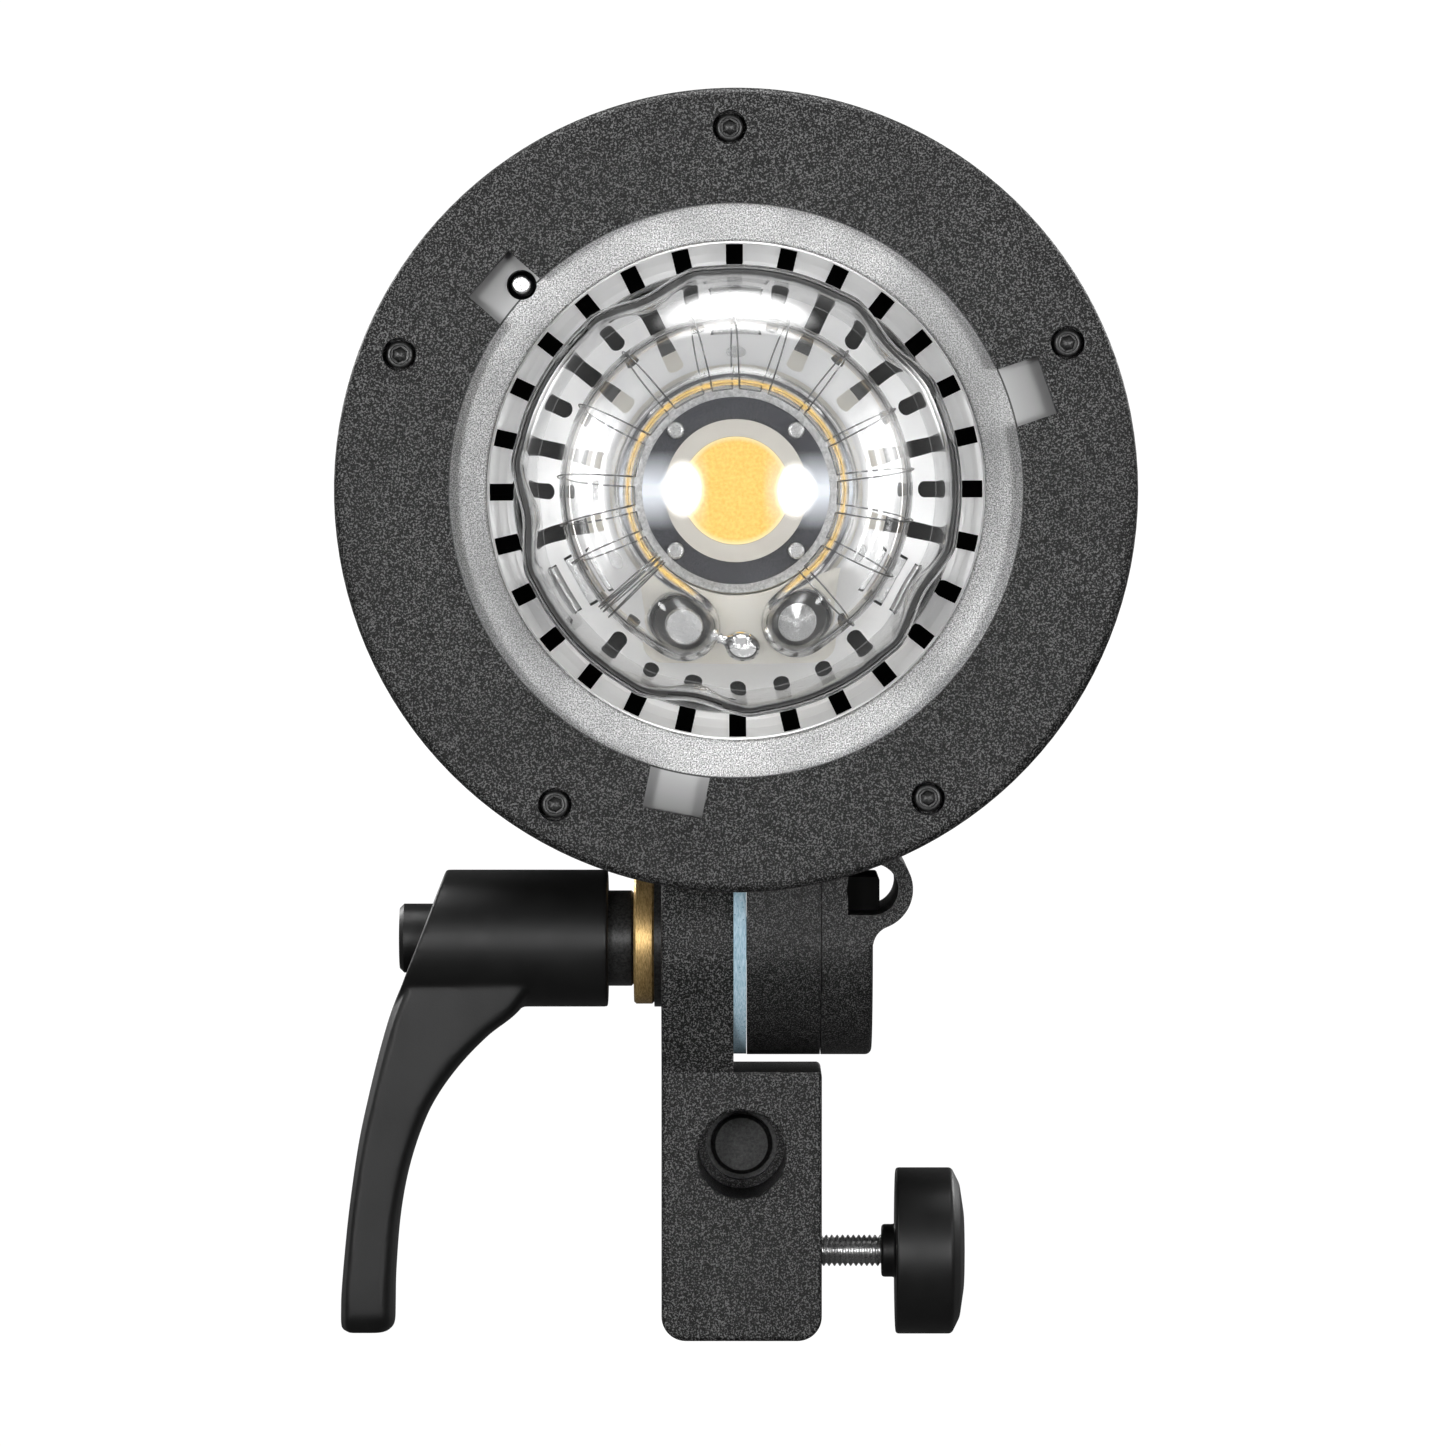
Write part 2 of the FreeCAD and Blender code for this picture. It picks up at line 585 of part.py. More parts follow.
def rear_bezel():
    bezel = turned([
        (SPIGOT_R, 96.0), (SPIGOT_R, HOUSING_REAR), (HOUSING_R, HOUSING_REAR), (HOUSING_R, 117.0),
        (57.5, 122.0), (52.5, 122.0), (52.5, PANEL_FACE), (54.0, PANEL_FACE), (54.0, 96.0),
    ])
    return bezel.makeFillet(1.5, circles(bezel, 57.5, 122.0))


def rear_panel():
    panel = cyl_y(53.9, 113.0, PANEL_FACE)
    tools = [head_box(-21.0, 21.0, 112.0, 118.0, 14.0, 36.0)]
    tools.append(head_cyl(3.06, 112.0, 118.0, 0.0, -5.0))
    tools += [head_cyl(4.55, 112.0, 118.0, x, z) for x, z in BUTTON_SPOTS.values()]
    tools.append(head_box(-20.0, 10.0, 112.0, 118.0, -46.0, -24.0))
    tools.append(head_box(14.0, 28.0, 112.0, 118.0, -42.0, -21.0))
    tools.append(head_cyl(6.0, 112.0, 118.0, 34.0, -12.0))
    tools.append(head_cyl(4.0, 112.0, 118.0, -34.0, -12.0))
    tools.append(head_cyl(4.5, 112.0, 118.0, 0.0, 44.0))
    for angle in PANEL_SCREW_ANGLES:
        x, z = polar(48.5, angle)
        tools.append(head_cyl(1.2, 112.0, 118.0, x, z))
        tools.append(Part.makeCone(1.2, 2.6, 1.6, V(HEAD_X + x, PANEL_FACE - 1.6, HEAD_Z + z),
                                   V(0, 1, 0)))
    bosses = [head_box(x - 2, x + 2, 106.6, 113.5, -17.0, -14.0) for x in (-24.0, 24.0)]
    return join([panel.cut(tools)] + bosses)


def rear_screws():
    screws = []
    for angle in PANEL_SCREW_ANGLES:
        x, z = polar(48.5, angle)
        head = Part.makeCone(1.2, 2.5, 1.5, V(HEAD_X + x, PANEL_FACE - 1.6, HEAD_Z + z),
                             V(0, 1, 0))
        screw = head.fuse(head_cyl(1.2, 107.0, PANEL_FACE - 1.6, x, z))
        bars = [head_box(x - 1.5, x + 1.5, 116.0, 117.0, z - 0.25, z + 0.25),
                head_box(x - 0.25, x + 0.25, 116.0, 117.0, z - 1.5, z + 1.5)]
        screws.append(screw.cut(bars))
    return Part.makeCompound(screws)


def rear_controls():
    parts = {}
    window = head_box(-21.0, 21.0, 114.0, 116.2, 14.0, 36.0)
    parts["display_window"] = window
    board = head_box(-38.0, 38.0, 104.9, 106.5, 8.0, 38.0)
    tongue = head_box(-26.0, 26.0, 104.9, 106.5, -18.0, 8.0)
    module = head_box(-20.0, 20.0, 106.5, 113.9, 15.0, 35.0)
    encoder = head_box(-6.0, 6.0, 106.5, 111.5, -11.0, 1.0)
    parts["control_board"] = join([board, tongue, module, encoder])
    knob = head_cyl(10.0, 117.1, 127.0, 0.0, -5.0)
    knob = knob.makeFillet(1.2, circles(knob, 10.0, 127.0))
    flutes = []
    for step in range(24):
        dx, dz = polar(10.35, 15 * step)
        flutes.append(head_cyl(0.75, 116.5, 125.0, dx, -5.0 + dz))
    mark = head_box(-0.5, 0.5, 126.5, 128.0, -1.5, 3.0)
    shaft = head_cyl(3.0, 111.8, 117.1, 0.0, -5.0)
    parts["control_dial"] = Part.makeCompound([knob.cut(flutes + [mark]), shaft])
    for name, (x, z) in BUTTON_SPOTS.items():
        cap = head_cyl(4.5, 112.2, 118.4, x, z)
        cap = cap.makeFillet(0.8, circles(cap, 4.5, 118.4))
        flange = head_cyl(5.4, 111.4, 112.4, x, z)
        parts[name] = join([cap, flange])
    inlet = head_box(-20.0, 10.0, 96.0, 117.2, -46.0, -24.0)
    inlet = inlet.cut(head_box(-17.2, 7.2, 100.0, 118.0, -43.0, -27.0))
    blades = [head_box(x - 1.0, x + 1.0, 99.0, 112.0, z - 2.0, z + 2.0)
              for x, z in ((-12.0, -33.0), (2.0, -33.0), (-5.0, -37.0))]
    frame = head_box(14.0, 28.0, 103.0, 117.2, -42.0, -21.0)
    frame = frame.cut(head_box(15.2, 26.8, 104.0, 118.0, -40.8, -22.2))
    parts["power_entry"] = Part.makeCompound([join([inlet] + blades), frame])
    profile = [(119.0, -8.2), (117.4, 0.0), (119.0, 8.2), (113.0, 8.2), (110.0, 3.0),
               (110.0, -3.0), (113.0, -8.2)]
    corners = [V(HEAD_X + 15.5, y, HEAD_Z - 31.5 + z) for y, z in profile]
    rocker = Part.Face(Part.makePolygon(corners + [corners[0]])).extrude(V(11.0, 0, 0))
    rocker.rotate(V(0, 113.0, HEAD_Z - 31.5), V(1, 0, 0), 8)
    pivot = cyl_x(1.0, HEAD_X + 15.25, HEAD_X + 26.75, 113.0, HEAD_Z - 31.5)
    parts["power_rocker"] = join([rocker, pivot])
    flange = head_cyl(7.0, PANEL_FACE + 0.02, 119.0, 34.0, -12.0)
    fuse = head_cyl(6.0, 98.0, 117.0, 34.0, -12.0).fuse(flange)
    fuse = fuse.cut(head_box(33.4, 34.6, 118.0, 120.0, -17.0, -7.0))
    parts["fuse_cap"] = fuse.removeSplitter()
    jack = head_cyl(4.0, 101.0, 117.6, -34.0, -12.0)
    jack = jack.fuse(head_cyl(5.4, PANEL_FACE, 117.9, -34.0, -12.0))
    parts["sync_jack"] = jack.cut(head_cyl(1.8, 103.0, 119.0, -34.0, -12.0)).removeSplitter()
    sensor = head_cyl(4.5, 108.0, 117.0, 0.0, 44.0)
    cap = Part.makeSphere(4.5, V(HEAD_X, 117.0, HEAD_Z + 44.0))
    parts["slave_sensor"] = join([sensor, cap.common(head_cyl(5.0, 116.9, 123.0, 0.0, 44.0))])
    return parts


# ---------------------------------------------------------------- tilt joint

def lever():
    """A swept clamping handle: front outline crossed with side outline."""
    outer = [(-54.8, 0, 86.0), (-57.0, 0, 79.7), (-60.4, 0, 70.6), (-64.3, 0, 61.5),
             (-66.7, 0, 53.8), (-69.1, 0, 44.1), (-70.9, 0, 35.6), (-72.4, 0, 25.5),
             (-73.3, 0, 17.7), (-74.1, 0, 8.6), (-74.3, 0, 0.6)]
    inner = [(-64.3, 0, 0.6), (-64.3, 0, 5.7), (-64.1, 0, 14.5), (-63.3, 0, 21.9),
             (-61.8, 0, 30.3), (-59.4, 0, 38.0), (-56.5, 0, 44.1), (-52.2, 0, 50.1),
             (-46.9, 0, 55.6), (-42.0, 0, 59.1), (-37.0, 0, 60.9)]
    crown = TILT_Z + LEVER_HUB_R + 0.8
    foot = TILT_Z - LEVER_HUB_R - 1.0
    edges = [
        spline(outer), Part.makeLine(V(*outer[-1]), V(*inner[0])), spline(inner),
        Part.makeLine(V(*inner[-1]), V(-34.0, 0, foot)),
        Part.makeLine(V(-34.0, 0, foot), V(LEVER_HUB_RIGHT, 0, foot)),
        Part.makeLine(V(LEVER_HUB_RIGHT, 0, foot), V(LEVER_HUB_RIGHT, 0, crown)),
        Part.makeLine(V(LEVER_HUB_RIGHT, 0, crown), V(-54.0, 0, crown)),
        Part.makeLine(V(-54.0, 0, crown), V(*outer[0])),
    ]
    front = Part.Face(Part.Wire(edges))
    front.translate(V(0, -20, 0))
    blade = front.extrude(V(0, 40, 0))
    side = [V(-90, -9.6, TILT_Z), V(-90, -9.2, 62.0), V(-90, -8.2, 40.0), V(-90, -7.4, 6.0),
            V(-90, -5.0, 0.0), V(-90, 5.0, 0.0), V(-90, 7.4, 6.0), V(-90, 8.2, 40.0),
            V(-90, 9.2, 62.0), V(-90, 9.6, TILT_Z)]
    arm = Part.Face(Part.makePolygon(side + [side[0]])).extrude(V(54, 0, 0))
    rim = cyl_x(LEVER_HUB_R, -90, 0)
    body = blade.common(arm.fuse(rim))
    return body.cut([cyl_x(9.0, -40.0, -20.0), cyl_x(2.6, -43.0, -39.0), cyl_x(6.5, -80.0, -42.0)])


def clamp_parts():
    insert = turned_x([(-39.0, 2.0), (-39.0, 8.95), (-24.75, 8.95), (-24.6, 8.85), (-20.4, 8.85),
                       (-19.95, 8.4), (-19.95, 2.0)])
    stud = cyl_x(STUD_R, -32.0, 13.9)
    tip = Part.makeCone(STUD_R, 3.2, 0.8, V(13.1, 0, TILT_Z), V(1, 0, 0))
    stud = stud.cut(cyl_x(6, 13.1, 15.0))
    insert = join([insert, stud, tip]).cut(cyl_x(2.0, -40.0, -32.0))
    screw = cyl_x(4.0, -50.5, -48.0).fuse(cyl_x(2.0, -48.0, -32.1))
    screw = screw.cut(cyl_x(1.6, -51.0, -49.2))
    spring = coil(4.6, 0.45, (0, 0, 0), 5.0, 4, (V(0, 1, 0), 90))
    spring = moved(spring, -47.5, 0, TILT_Z)
    button = turned_x([(-63.3, 0.0), (-63.3, 5.6), (-62.5, 6.4), (-55.5, 6.4), (-55.5, 0.0)])
    return {
        "clamp_insert": insert,
        "lever_screw": screw.removeSplitter(),
        "lever_spring": spring,
        "lever_button": button,
    }


def washers():
    brass = turned_x([(-19.9, 4.1), (-19.9, 11.75), (-19.5, 12.15), (-16.55, 12.15),
                      (-16.15, 11.75), (-16.15, 4.1)])
    steel = turned_x([(-16.15, 4.1), (-16.15, 12.7), (BRACKET_LEFT, 12.7), (BRACKET_LEFT, 4.1)])
    blue = turned_x([(PLATE_RIGHT, 4.1), (PLATE_RIGHT, 21.4), (0.85, 21.4), (0.85, 4.1)])
    return {"brass_washer": brass, "steel_washer": steel, "friction_washer": blue}


def tilt_hub():
    disc = cyl_x(DISC_R, DISC_LEFT, DISC_RIGHT)
    arm = box(DISC_LEFT, DISC_RIGHT, -HOLDER_HALF_Y, HOLDER_HALF_Y, TILT_Z, 104.0)
    hub = join([disc, arm]).cut(cyl_y(HOUSING_R, -40, 40))
    tools = [cyl_x(4.08, 0.0, 15.0), box(7.5, 15.0, -16.2, 16.2, 79.2, 85.7)]
    for y in (-11.0, 11.0):
        tools.append(cyl_x(2.0, 6.0, 15.0, y, 61.0))
    return hub.cut(tools)


def umbrella_holder():
    neck_x, neck_z = 28.0, 72.96
    outline = Part.Face(Part.makePolygon([
        V(HOLDER_LEFT, -HOLDER_HALF_Y, 50.0), V(HOLDER_RIGHT, -HOLDER_HALF_Y, 50.0),
        V(HOLDER_RIGHT, -HOLDER_HALF_Y, neck_z), V(26.56, -HOLDER_HALF_Y, 76.69),
        V(HOOK_X, -HOLDER_HALF_Y, HOOK_Z), V(HOOK_X, -HOLDER_HALF_Y, HOOK_Z + HOOK_OUT),
        V(HOLDER_LEFT, -HOLDER_HALF_Y, HOOK_Z + HOOK_OUT), V(HOLDER_LEFT, -HOLDER_HALF_Y, 50.0)]))
    slab = outline.extrude(V(0, 2 * HOLDER_HALF_Y, 0))
    hook = cyl_y(HOOK_OUT, -HOLDER_HALF_Y, HOLDER_HALF_Y, HOOK_X, HOOK_Z)
    fillet = cyl_y(4.0, -HOLDER_HALF_Y - 1, HOLDER_HALF_Y + 1, neck_x, neck_z)
    solid = join([slab, hook]).cut(fillet)
    drum = cyl_x(DISC_R, 10.0, HOLDER_RIGHT)
    rim = [edge for edge in drum.Edges if edge.BoundBox.XMin > HOLDER_RIGHT - 0.01]
    drum = drum.makeFillet(1.2, rim)
    limit = drum.fuse(box(10.0, 40.0, -30, 30, TILT_Z, 110))
    solid = solid.common(limit.removeSplitter())
    channel = cyl_y(HOOK_IN, -30, 30, HOOK_X, HOOK_Z)
    channel = channel.fuse(box(19.4, HOOK_X, -30, 30, HOOK_Z - HOOK_IN, HOOK_Z + HOOK_IN))
    tools = [channel, box(10.0, 20.0, -14.1, 14.1, 79.3, 85.6)]
    tools.append(box(10.0, 16.1, -15.7, 15.7, 79.3, 85.6))
    for y in (-11.0, 11.0):
        tools.append(cyl_x(2.0, 10.0, 26.0, y, 61.0))
        tools.append(cyl_x(3.6, HOLDER_RIGHT - 2.4, 26.0, y, 61.0))
    return solid.cut(tools)


def umbrella_parts():
    block = box(14.9, 25.3, -14.0, 14.0, 79.4, 85.5)
    lower = []
    for edge in block.Edges:
        if edge.BoundBox.XMin > 25.2 and edge.BoundBox.YLength > 20:
            lower.append(edge)
    block = block.makeFillet(0.6, lower)
    flange = box(14.9, 15.9, -15.5, 15.5, 79.4, 85.5)
    springs = []
    for y in (-7.0, 7.0):
        spring = coil(2.0, 0.35, (0, 0, 0), 6.4, 5, (V(0, 1, 0), 90))
        springs.append(moved(spring, 8.0, y, 82.45))
    screws = []
    for y in (-11.0, 11.0):
        head = cyl_x(3.5, HOLDER_RIGHT - 2.4, HOLDER_RIGHT, y, 61.0)
        screw = head.fuse(cyl_x(2.0, 6.0, HOLDER_RIGHT - 2.4, y, 61.0))
        screws.append(screw.cut(cyl_x(1.6, HOLDER_RIGHT - 1.5, 25.0, y, 61.0)).removeSplitter())
    return {
        "umbrella_pad": join([block, flange]),
        "umbrella_spring": Part.makeCompound(springs),
        "umbrella_screws": Part.makeCompound(screws),
    }


# ---------------------------------------------------------------- stand bracket

def stand_bracket():
    block = box(-BRACKET_HALF_X, BRACKET_HALF_X, -BRACKET_HALF_Y, BRACKET_HALF_Y, 0,
                BRACKET_STEP_Z)
    corners = []
    for edge in block.Edges:
        bounds = edge.BoundBox
        if bounds.YLength > 20 and bounds.ZMax < 1:
            corners.append(edge)
    block = block.makeFillet(4.5, corners)
    reach = math.hypot(BRACKET_HALF_Y, TILT_Z - BRACKET_STEP_Z)
    turn = math.acos(PLATE_END_R / reach) - math.atan2(TILT_Z - BRACKET_STEP_Z, BRACKET_HALF_Y)
    touch_y = PLATE_END_R * math.cos(turn)
    touch_z = TILT_Z + PLATE_END_R * math.sin(turn)
    side = [V(BRACKET_LEFT, -touch_y, touch_z), V(BRACKET_LEFT, -BRACKET_HALF_Y, BRACKET_STEP_Z),
            V(BRACKET_LEFT, -BRACKET_HALF_Y, 40.0), V(BRACKET_LEFT, BRACKET_HALF_Y, 40.0),
            V(BRACKET_LEFT, BRACKET_HALF_Y, BRACKET_STEP_Z), V(BRACKET_LEFT, touch_y, touch_z)]
    crown = Part.Arc(side[-1], V(BRACKET_LEFT, 0, TILT_Z + PLATE_END_R), side[0]).toShape()
    plate = Part.Face(Part.Wire(Part.makePolygon(side).Edges + [crown]))
    plate = plate.extrude(V(PLATE_RIGHT - BRACKET_LEFT, 0, 0))
    casting = join([block, plate])
    rims = []
    for edge in casting.Edges:
        bounds = edge.BoundBox
        flat_x = bounds.XLength < 1e-6
        on_side = abs(abs(bounds.XMin) - BRACKET_HALF_X) < 1e-3
        if flat_x and on_side and bounds.DiagonalLength > 8:
            rims.append(edge)
    casting = casting.makeFillet(0.9, rims)
    front = -BRACKET_HALF_Y
    tools = [
        cyl_z(SOCKET_R, -1, STAND_DEPTH),
        cyl_y(SOCKET_R, front - 1, front + CROSS_DEPTH, 0, CROSS_Z),
        cyl_y(6.6, front, BRACKET_HALF_Y + 1, 0, CROSS_Z),
        cyl_x(3.0, 5.0, 16.0, 0, KNOB_Z),
        cyl_x(STUD_R + 0.1, -20.0, 0.0),
    ]
    casting = casting.cut(tools)
    mouth = circles(casting, SOCKET_R, front)
    return casting.makeFillet(0.5, mouth)


def bracket_parts():
    plug = cyl_y(6.6, 11.8, BRACKET_HALF_Y, 0, CROSS_Z).fuse(cyl_y(5.6, 10.2, 11.8, 0, CROSS_Z))
    plug = plug.removeSplitter()
    plug = plug.makeChamfer(0.7, circles(plug, 5.6, 10.2))
    pad = cyl_x(2.7, 9.0, 10.95, 0, KNOB_Z)
    screw = cyl_x(2.9, 11.0, 25.9, 0, KNOB_Z)
    profile = [(25.9, 0.0), (25.9, 4.9), (28.5, 4.9), (28.5, 14.9), (29.0, KNOB_R), (38.6, KNOB_R),
               (39.7, 14.6), (40.5, 12.4), (41.1, 8.8), (41.35, 4.6), (41.4, 0.0)]
    knob = turned_x(profile, KNOB_Z)
    return {
        "cross_socket_plug": plug,
        "clamp_pad": pad,
        "knob_screw": screw,
        "stand_knob": knob,
    }


# ---------------------------------------------------------------- output

def all_parts():
    parts = {
        "mount_ring": mount_ring(),
        "ring_screws": ring_screws(),
        "bayonet_base": bayonet_base(),
        "front_collar": front_collar(),
        "reflector": reflector(),
        "reflector_screws": reflector_screws(),
        "dome_clips": dome_clips(),
        "glass_dome": glass_dome(),
        "flash_tube": flash_tube(),
        "flash_cathode": electrode(LEG_ANGLES[1], 3.0),
        "flash_anode": electrode(LEG_ANGLES[0], 0.8),
        "trigger_wire": trigger_wire(),
        "lamp_base": lamp_base(),
        "housing_tube": housing_tube(),
        "top_grip": top_grip(),
        "main_chassis": main_chassis(),
        "rear_bezel": rear_bezel(),
        "rear_panel": rear_panel(),
        "rear_screws": rear_screws(),
        "clamp_lever": lever(),
        "tilt_hub": tilt_hub(),
        "umbrella_holder": umbrella_holder(),
        "stand_bracket": stand_bracket(),
    }
    groups = (lock_parts, led_parts, power_parts, fan_parts, rear_controls, clamp_parts, washers,
              umbrella_parts, bracket_parts)
    for group in groups:
        parts.update(group())
    return parts


os.makedirs("parts", exist_ok=True)
for node, shape in sorted(all_parts().items()):
    shape.exportStep("parts/" + node + ".step")
    state = "valid" if shape.isValid() else "INVALID"
    print(node, state, len(shape.Solids), round(shape.Volume, 1))
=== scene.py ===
import json
import math
import random

import bmesh
import bpy
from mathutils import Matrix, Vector


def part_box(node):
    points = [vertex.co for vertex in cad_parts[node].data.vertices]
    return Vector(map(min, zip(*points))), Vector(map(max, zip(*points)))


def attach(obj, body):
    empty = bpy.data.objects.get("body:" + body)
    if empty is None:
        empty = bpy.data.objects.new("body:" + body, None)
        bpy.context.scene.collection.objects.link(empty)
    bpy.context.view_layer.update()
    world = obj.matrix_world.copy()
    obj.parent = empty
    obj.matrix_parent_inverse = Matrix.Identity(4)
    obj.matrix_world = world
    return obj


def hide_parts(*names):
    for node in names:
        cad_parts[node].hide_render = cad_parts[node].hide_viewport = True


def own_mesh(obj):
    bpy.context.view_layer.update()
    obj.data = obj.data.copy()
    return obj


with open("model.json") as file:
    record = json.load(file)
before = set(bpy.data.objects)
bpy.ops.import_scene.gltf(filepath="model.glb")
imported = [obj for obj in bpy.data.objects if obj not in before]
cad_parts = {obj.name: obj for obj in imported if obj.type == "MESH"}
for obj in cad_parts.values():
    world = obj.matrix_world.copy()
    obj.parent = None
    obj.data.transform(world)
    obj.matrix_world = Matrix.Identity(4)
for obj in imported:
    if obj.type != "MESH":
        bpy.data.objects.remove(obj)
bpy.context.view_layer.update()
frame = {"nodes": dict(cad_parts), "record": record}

MM = 0.001
NODES = frame["nodes"]
BODY_OF = {
    node: body
    for body, members in frame["record"]["behaviour"]["bodies"].items()
    for node in members
}

ring_low, ring_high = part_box("mount_ring")
HEAD_X = (ring_low.x + ring_high.x) / 2
HEAD_Z = (ring_low.z + ring_high.z) / 2
TILT_Z = sum(corner.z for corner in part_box("brass_washer")) / 2
KNOB_Z = sum(corner.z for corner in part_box("stand_knob")) / 2
# Radius at which the silver ring's round face ends and its lug recesses begin.
LUG_LINE = 50.25 * MM
# Angle round the lamp, in degrees, where the silver ring's painted shade is darkest; it is as
# dark again on the opposite side.
SHADE_PATCH_ANGLE = 28.0


# ------------------------------------------------------------ node graphs

class Graph:
    """A small builder for one procedural material."""

    def __init__(self, name):
        self.material = bpy.data.materials.new(name)
        self.material.use_nodes = True
        self.tree = self.material.node_tree
        self.shader = self.tree.nodes["Principled BSDF"]
        self.coords = self.tree.nodes.new("ShaderNodeTexCoord").outputs["Object"]

    def node(self, kind, inputs=(), **settings):
        made = self.tree.nodes.new("ShaderNode" + kind)
        for key, value in settings.items():
            setattr(made, key, value)
        for key, value in dict(inputs).items():
            self.put(made.inputs[key], value)
        return made

    def put(self, socket, value):
        if isinstance(value, bpy.types.NodeSocket):
            self.tree.links.new(value, socket)
        elif isinstance(value, tuple) and len(value) == 3 and socket.type == "RGBA":
            socket.default_value = (*value, 1.0)
        else:
            socket.default_value = value

    def set(self, **values):
        for key, value in values.items():
            self.put(self.shader.inputs[key.replace("_", " ")], value)
        return self

    def scaled(self, factors, place=(0, 0, 0)):
        """Object coordinates in metres from a place, times a factor for each axis."""
        shifted = self.node("VectorMath", {0: self.coords, 1: place}, operation="SUBTRACT")
        return self.node("VectorMath", {0: shifted.outputs[0], 1: factors},
                         operation="MULTIPLY").outputs[0]

    def noise(self, cell_mm, detail=3.0, rough=0.6, coords=None):
        """Noise with cells of about this size."""
        inputs = {"Vector": coords or self.coords, "Scale": 1 / (cell_mm * MM),
                  "Detail": detail, "Roughness": rough}
        return self.node("TexNoise", inputs).outputs["Fac"]

    def cells(self, cell_mm, coords=None):
        inputs = {"Vector": coords or self.coords, "Scale": 1 / (cell_mm * MM)}
        return self.node("TexVoronoi", inputs).outputs["Distance"]

    def span(self, value, low, high, to_low=0.0, to_high=1.0):
        inputs = {"Value": value, "From Min": low, "From Max": high,
                  "To Min": to_low, "To Max": to_high}
        return self.node("MapRange", inputs).outputs["Result"]

    def math(self, operation, first, second=0.0):
        return self.node("Math", {0: first, 1: second}, operation=operation).outputs[0]

    def blend(self, share, first, second):
        """A colour from first to second by a share."""
        mixer = self.node("Mix", data_type="RGBA")
        self.put(mixer.inputs["Factor"], share)
        self.put(mixer.inputs[6], first)
        self.put(mixer.inputs[7], second)
        return mixer.outputs[2]

    def bump(self, height, depth_mm, below=None):
        inputs = {"Height": height, "Distance": depth_mm * MM, "Strength": 1.0}
        if below is not None:
            inputs["Normal"] = below
        return self.node("Bump", inputs).outputs["Normal"]


def grey(level):
    return (level, level, level)


def powder_coat(name, dark, pale, rough=0.5, grain_mm=0.32, depth_mm=0.08):
    """Wrinkled powder coat: fine raised grains that catch the light."""
    g = Graph(name)
    grains = g.noise(grain_mm, 2.0, 0.7)
    patches = g.noise(14.0, 2.0)
    colour = g.blend(g.span(grains, 0.52, 0.60), dark, pale)
    colour = g.blend(g.span(patches, 0.35, 0.7, 0.0, 0.2), colour, dark)
    g.set(Base_Color=colour, Roughness=g.span(grains, 0.3, 0.7, rough + 0.1, rough - 0.14))
    return g.set(Normal=g.bump(grains, depth_mm), Specular_IOR_Level=0.2).material


def blasted(name, dark, pale, rough=0.42, grain_mm=0.26, depth_mm=0.03):
    """Bead-blasted bare metal, smoother in the lug recesses beyond the ring, with painted
    shade in those recesses and in two patches opposite each other.
    """
    g = Graph(name)
    radius, local = radius_from_axis(g)
    pits = g.noise(grain_mm, 3.0, 0.8)
    cloud = g.noise(9.0, 3.0)
    # Painted shade: darker patches at this angle and opposite it, standing in for dim
    # reflections on the bare metal.
    split = g.node("SeparateXYZ", {0: local})
    turn = g.math("ARCTAN2", split.outputs["Z"], split.outputs["X"])
    wave = g.math("COSINE", g.math("SUBTRACT", g.math("MULTIPLY", turn, 2.0),
                                   2.0 * math.radians(SHADE_PATCH_ANGLE)))
    colour = g.blend(g.span(pits, 0.44, 0.60), dark, pale)
    colour = g.blend(g.span(cloud, 0.4, 0.75, 0.0, 0.25), colour, dark)
    colour = g.blend(g.span(wave, 0.5, 1.0, 0.0, 0.45), colour, dark)
    recess = g.span(radius, LUG_LINE - 0.0002, LUG_LINE)
    # Painted shade in the lug recesses: their floors go from mid grey to dark towards their
    # outer ends, where the ring overhangs them.
    floor = g.blend(g.span(radius, LUG_LINE, LUG_LINE + 0.007), grey(0.34), grey(0.15))
    colour = g.blend(recess, colour, floor)
    line = g.math("COMPARE", radius, LUG_LINE)
    line.node.inputs[2].default_value = 0.00016
    g.set(Base_Color=g.blend(line, colour, grey(0.03)), Metallic=0.2,
          Roughness=g.span(cloud, 0.3, 0.7, rough - 0.06, rough + 0.08))
    height = g.math("MULTIPLY", pits, g.span(recess, 0.0, 1.0, 1.0, 0.15))
    return g.set(Normal=g.bump(height, depth_mm)).material


def satin(name, dark, pale, rough, grain_mm=0.5, depth_mm=0.012, coat=0.0, gloss=0.5):
    """Moulded plastic or rubber: faint mottling and a fine eroded skin."""
    g = Graph(name)
    skin = g.noise(grain_mm, 3.0)
    haze = g.noise(11.0, 3.0)
    smears = g.noise(4.0, 4.0, coords=g.scaled((1.0, 1.0, 0.25)))
    g.set(Base_Color=g.blend(g.span(haze, 0.3, 0.7), dark, pale))
    g.set(Roughness=g.span(smears, 0.3, 0.7, rough - 0.05, rough + 0.07))
    g.set(Normal=g.bump(skin, depth_mm))
    g.set(Specular_IOR_Level=gloss)
    return g.set(Coat_Weight=coat, Coat_Roughness=0.25).material


def machined(name, dark, pale, rough, stretch, depth_mm=0.006, cell_mm=0.6, metallic=1.0):
    """Turned or brushed metal: noise pulled out along the tool marks."""
    g = Graph(name)
    marks = g.noise(cell_mm, 3.0, 0.7, g.scaled(stretch))
    stains = g.noise(5.0, 3.0)
    colour = g.blend(g.span(marks, 0.35, 0.65), dark, pale)
    colour = g.blend(g.span(stains, 0.45, 0.75, 0.0, 0.35), colour, dark)
    g.set(Base_Color=colour, Metallic=metallic)
    g.set(Roughness=g.span(marks, 0.3, 0.7, rough + 0.08, rough - 0.05))
    return g.set(Normal=g.bump(marks, depth_mm)).material


